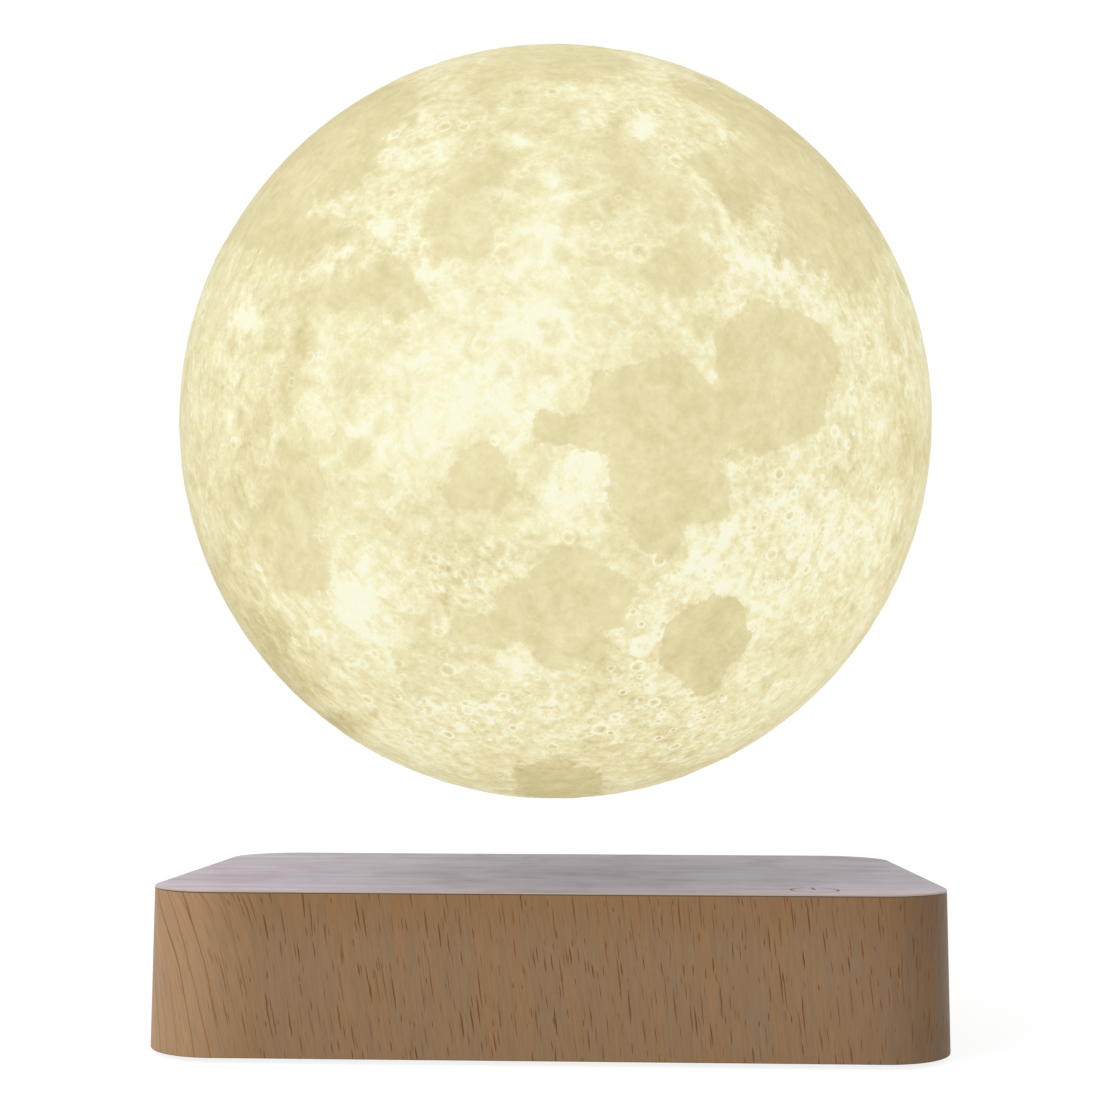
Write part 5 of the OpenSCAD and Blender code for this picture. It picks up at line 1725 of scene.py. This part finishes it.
def finishes() -> dict[Finish, tuple[str, ...]]:
    """Every finish with the frame nodes that wear it."""
    winding = tuple(f"control_winding_{i}" for i in range(1, 5))
    bobbin = tuple(f"control_bobbin_{i}" for i in range(1, 5))
    return {
        CoreWood("core_wood"): ("wood_core",),
        Moulded("module_plastic", (44, 45, 50), 0.5, 0.05, 0.12, 0.48): ("module_frame", "coil_tray"),
        Plated("steel"): ("board_screws", "jack_nut", "globe_screws"),
        Moulded("mark_print", (108, 78, 58), 0.2, 0.02, 0.2, 0.7): ("touch_mark",),
        CopperWire("copper_wire"): (
            "touch_pad", "transmitter_coil", "transmitter_leads", "receiver_coil", "receiver_leads", *winding
        ),
        Moulded("lead_cover", (206, 60, 48), 0.3, 0.02, 0.1, 0.42): (
            "jack_leads", "light_leads", "touch_lead"
        ),
        Plated("tinned", Metal.TIN, 0.3): ("jack_terminals", "board_link"),
        Plated("gilt", Metal.GILT, 0.15): ("sensor_pins", "standoffs"),
        Moulded("ferrite", (52, 52, 56), 0.25, 0.03, 0.18, 0.42): (
            "ring_magnet", "transmitter_ferrite", "receiver_ferrite", "power_inductor"
        ),
        CircuitBoard("circuit_board"): ("control_board", "power_board", "driver_board", "sensor_board"),
        Moulded("chip_resin", (26, 26, 28), 0.15, 0.015, 0.15, 0.4): (
            "control_chips", "position_sensors", "power_chips", "driver_parts"
        ),
        SleevedCan("capacitor_sleeve"): ("power_capacitors",),
        Moulded("nylon", (226, 222, 210), 0.35, 0.02, 0.05, 0.4): ("lead_sockets", *bobbin),
        Plated("nickel", Metal.NICKEL, 0.4): ("float_magnet",),
        Moulded("white_plastic", (232, 230, 224), 0.4, 0.03, 0.04, 0.45): (
            "shell_ring", "magnet_cup", "magnet_lid"
        ),
        CircuitBoard("light_board_mask", (232, 232, 226), (222, 222, 214)): ("light_board",),
        Moulded("diode_phosphor", (250, 226, 130), 0.2, 0.01, 0.04, 0.35, 1.0): ("light_diodes",),
    }


def dress(frame: dict, material: bpy.types.Material, nodes: Sequence[str]) -> None:
    """Gives frame nodes a material."""
    for name in nodes:
        piece = frame["nodes"][name]
        if not piece.material_slots:
            piece.data.materials.append(material)
        for slot in piece.material_slots:
            slot.material = material


def wear(piece: Piece, material: bpy.types.Material) -> None:
    """Gives a new piece one material."""
    piece.data.materials.clear()
    piece.data.materials.append(material)
    log.info("%s: %d faces, %s", piece.name, len(piece.data.polygons), material.name)


def main() -> None:
    """Builds the scene, piece by piece."""
    logging.basicConfig(level=logging.INFO, format="%(name)s: %(message)s")
    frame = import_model()
    view = Viewpoint()
    view.set_up()
    effects = Effects()

    for finish, nodes in finishes().items():
        dress(frame, finish.make(effects), nodes)

    globe_print = GlobeFinish("moon_print").make(effects)
    globe = Globe(view)
    wear(globe.shell(), globe_print)
    wear(globe.cap(), globe_print)

    block = Block(frame)
    wear(block.side(), SideVeneer("side_wood").make(effects))
    wear(block.top(), TopVeneer("top_wood").make(effects))
    plate = Moulded("plate_plastic", (30, 30, 32), 0.6, 0.10, 0.06, 0.56, smear=0.02).make(effects)
    wear(block.plate(), plate)
    rubber = Moulded("foot_rubber", (26, 26, 27), 0.3, 0.04, 0.15, 0.72).make(effects)
    for number in range(1, 5):
        wear(block.foot(number), rubber)
    wear(
        block.eased("plate_screws", "bottom_screws", 0.12 * MM),
        Plated("screw_steel").make(effects),
    )
    wear(
        block.eased("jack_body", "inlet_body", 0.15 * MM),
        Moulded("jack_plastic", (20, 20, 22), 0.3, 0.015, 0.12, 0.32).make(effects),
    )
    wear(
        block.eased("jack_pin", "inlet_pin", 0.12 * MM),
        Plated("inlet_gilt", Metal.GILT, 0.12).make(effects),
    )

    studio = Studio()
    studio.floor()
    studio.surroundings()
    studio.key()
    bpy.context.scene.view_settings.view_transform = "Standard"


if __name__ == "__main__":
    main()
